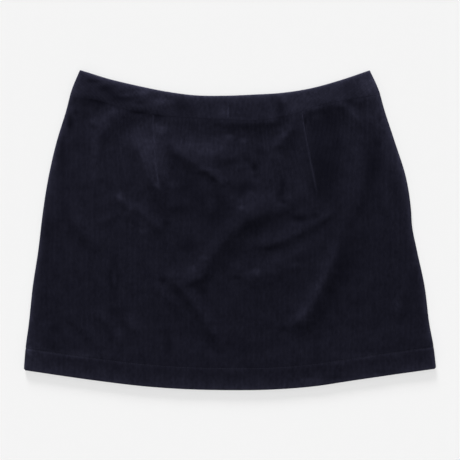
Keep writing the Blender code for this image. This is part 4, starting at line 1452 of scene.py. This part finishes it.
class SKIRT_OT_zip(bpy.types.Operator):
    """Make the concealed zip: its tape, its coil and the finish of its slider"""

    bl_idname = "skirt.zip"
    bl_label = "Side zip"

    def execute(self, context):
        sewing = context.scene.skirt_sewing
        tape = zip_tape(weave_finish("navy_zip_tape", (0.012, 0.012, 0.020), 0.0005))
        settle(tape, ["side_zip_tape"])
        drops = np.linspace(COIL_START, COIL_END, COIL_POINTS)
        line = [zip_point(drop, COIL_INSET, COIL_HEIGHT) for drop in drops]
        length, height = COIL_SIZE
        coil = run_along("zip_coil", repeat_tree("coil_along_line", True), line, {
            "Step": sewing.coil_step, "Length": length, "Width": sewing.coil_step * 0.8, "Height": height,
            "Loose": 0.0, "Seed": 1, "Finish": thread_finish("navy_nylon", (0.014, 0.014, 0.024))})
        settle(coil, [])
        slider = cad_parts["side_zip_slider"]
        slider.data.materials.clear()
        slider.data.materials.append(enamel_finish("navy_enamel"))
        return {"FINISHED"}


class SKIRT_OT_hem_stitches(bpy.types.Operator):
    """Sew the hem of the back and of the front"""

    bl_idname = "skirt.hem_stitches"
    bl_label = "Hem stitches"

    def execute(self, context):
        sewing = context.scene.skirt_sewing
        thread = thread_finish("navy_thread", sewing.thread_colour)
        tree = repeat_tree("stitches_along_line", False)
        rows = (
            ("hem_stitches_back", hem_line(SEAM_LINE, back_columns, back_line_height), 4),
            ("hem_stitches_front", hem_line(dipped(SEAM_LINE), front_columns, front_line_height), 9),
        )
        for name, line, seed in rows:
            piece = run_along(name, tree, line, {
                "Step": sewing.stitch_step, "Length": sewing.stitch_length, "Width": sewing.thread_width,
                "Height": sewing.thread_width * 0.8, "Loose": 0.06, "Seed": seed, "Finish": thread})
            settle(piece, [])
        return {"FINISHED"}


# Sizes of the stage, in metres.
FLOOR_HALF = 15.0
FLOOR_DROP = 0.0002       # below the skirt, so that the two don't share a face
SOFT_BOX_SIZE = 0.5
OVERHEAD_SPREAD = math.radians(36)
FLOOR_FILL_SPREAD = math.radians(24)
SENSOR = 36.0             # millimetres, as the lens is
CAMERA_SHIFT = 0.0002     # towards the waist
VIEW_HEIGHT = 0.003       # where the view is as wide as the stage's setting says


def add_floor(colour):
    """A wide floor just under the skirt."""
    half = FLOOR_HALF
    corners = [(-half, -half, 0), (half, -half, 0), (half, half, 0), (-half, half, 0)]
    mesh = bpy.data.meshes.new("floor")
    mesh.from_pydata(corners, [], [(0, 1, 2, 3)])
    mesh.materials.append(floor_finish("pale_card", colour))
    floor = new_object("floor", mesh)
    floor.location.z = -FLOOR_DROP
    return floor


def add_sun(name, strength, height, turn, spread, glossy):
    """A distant light from this height, turned from the waist's side towards the left."""
    light = bpy.data.lights.new(name, "SUN")
    light.energy = strength
    light.angle = spread
    item = new_object(name, light)
    item.rotation_euler = (math.pi / 2 - height, 0.0, math.pi + turn)
    item.visible_glossy = glossy
    return item


def add_wash(name, irradiance, distance, height, turn):
    """A soft box beyond the waist, aimed at the skirt's middle, that gives it this much light there."""
    light = bpy.data.lights.new(name, "AREA")
    light.size = SOFT_BOX_SIZE
    reach = math.hypot(distance, height)
    light.energy = math.pi * irradiance * reach ** 3 / height
    item = new_object(name, light)
    item.location = (-distance * math.sin(turn), distance * math.cos(turn), height)
    item.rotation_euler = (math.atan2(distance, height), 0.0, math.pi + turn)
    return item


def light_floor(light, floor, state):
    """Make a light reach the floor alone (INCLUDE) or everything but the floor (EXCLUDE)."""
    group = bpy.data.collections.new(light.name + "_reach")
    group.objects.link(floor)
    group.collection_objects[0].light_linking.link_state = state
    light.light_linking.receiver_collection = group


def add_lights(stage, floor):
    """Light that makes the floor look as bright as floor_light, shared out between four sources."""
    light = stage.floor_light / stage.floor_colour[0]
    key = light * stage.key_share * math.pi / math.sin(stage.key_height)
    top = light * (1 - stage.key_share - stage.wash_share - stage.sky_share) * math.pi
    wash = light * stage.wash_share * math.pi
    add_sun("low_key", key, stage.key_height, stage.key_turn, stage.key_spread, True)
    add_sun("overhead", top, math.pi / 2, 0.0, OVERHEAD_SPREAD, False)
    # The soft box would light the floor unevenly, so a light from above takes its place there.
    soft_box = add_wash("soft_box", wash, stage.wash_distance, stage.wash_height, stage.key_turn)
    light_floor(soft_box, floor, "EXCLUDE")
    floor_fill = add_sun("floor_fill", wash, math.pi / 2, 0.0, FLOOR_FILL_SPREAD, False)
    light_floor(floor_fill, floor, "INCLUDE")
    world = bpy.data.worlds.new("studio")
    bpy.context.scene.world = world
    world.use_nodes = True
    background = world.node_tree.nodes["Background"]
    background.inputs["Color"].default_value = (1.0, 1.0, 1.0, 1.0)
    background.inputs["Strength"].default_value = light * stage.sky_share
    world.cycles_visibility.glossy = False


def add_camera(stage):
    """A camera that looks straight down on the skirt."""
    lens = bpy.data.cameras.new("camera")
    lens.lens = stage.lens
    lens.sensor_width = SENSOR
    lens.sensor_fit = "HORIZONTAL"
    camera = new_object("camera", lens)
    camera.location = (0.0, CAMERA_SHIFT, stage.view_width * stage.lens / SENSOR + VIEW_HEIGHT)
    bpy.context.scene.camera = camera


class SKIRT_OT_stage(bpy.types.Operator):
    """Set out the floor, the lights and the camera above the skirt"""

    bl_idname = "skirt.stage"
    bl_label = "Stage"

    def execute(self, context):
        stage = context.scene.skirt_stage
        floor = add_floor(stage.floor_colour)
        add_lights(stage, floor)
        add_camera(stage)
        context.scene.view_settings.view_transform = "Standard"
        return {"FINISHED"}


class SKIRT_PT_panel(bpy.types.Panel):
    """Sizes, colours and the steps that make the skirt"""

    bl_label = "Needlecord skirt"
    bl_space_type = "VIEW_3D"
    bl_region_type = "UI"
    bl_category = "Skirt"

    def draw(self, context):
        for group in (context.scene.skirt_cloth, context.scene.skirt_sewing, context.scene.skirt_stage):
            box = self.layout.box()
            for name in group.bl_rna.properties.keys():
                if name not in ("rna_type", "name"):
                    box.prop(group, name)
        for operator in OPERATORS:
            self.layout.operator(operator.bl_idname)


SETTINGS = {"skirt_cloth": SkirtCloth, "skirt_sewing": SkirtSewing, "skirt_stage": SkirtStage}
OPERATORS = (
    SKIRT_OT_back, SKIRT_OT_front, SKIRT_OT_waistbands, SKIRT_OT_zip, SKIRT_OT_hem_stitches, SKIRT_OT_stage,
)


def register():
    for group in SETTINGS.values():
        bpy.utils.register_class(group)
    for name, group in SETTINGS.items():
        setattr(bpy.types.Scene, name, PointerProperty(type=group))
    for operator in OPERATORS:
        bpy.utils.register_class(operator)
    bpy.utils.register_class(SKIRT_PT_panel)


def unregister():
    bpy.utils.unregister_class(SKIRT_PT_panel)
    for operator in reversed(OPERATORS):
        bpy.utils.unregister_class(operator)
    for name, group in SETTINGS.items():
        delattr(bpy.types.Scene, name)
        bpy.utils.unregister_class(group)


def main():
    register()
    bpy.ops.skirt.back()
    bpy.ops.skirt.front()
    bpy.ops.skirt.waistbands()
    bpy.ops.skirt.zip()
    bpy.ops.skirt.hem_stitches()
    bpy.ops.skirt.stage()


if __name__ == "__main__":
    main()
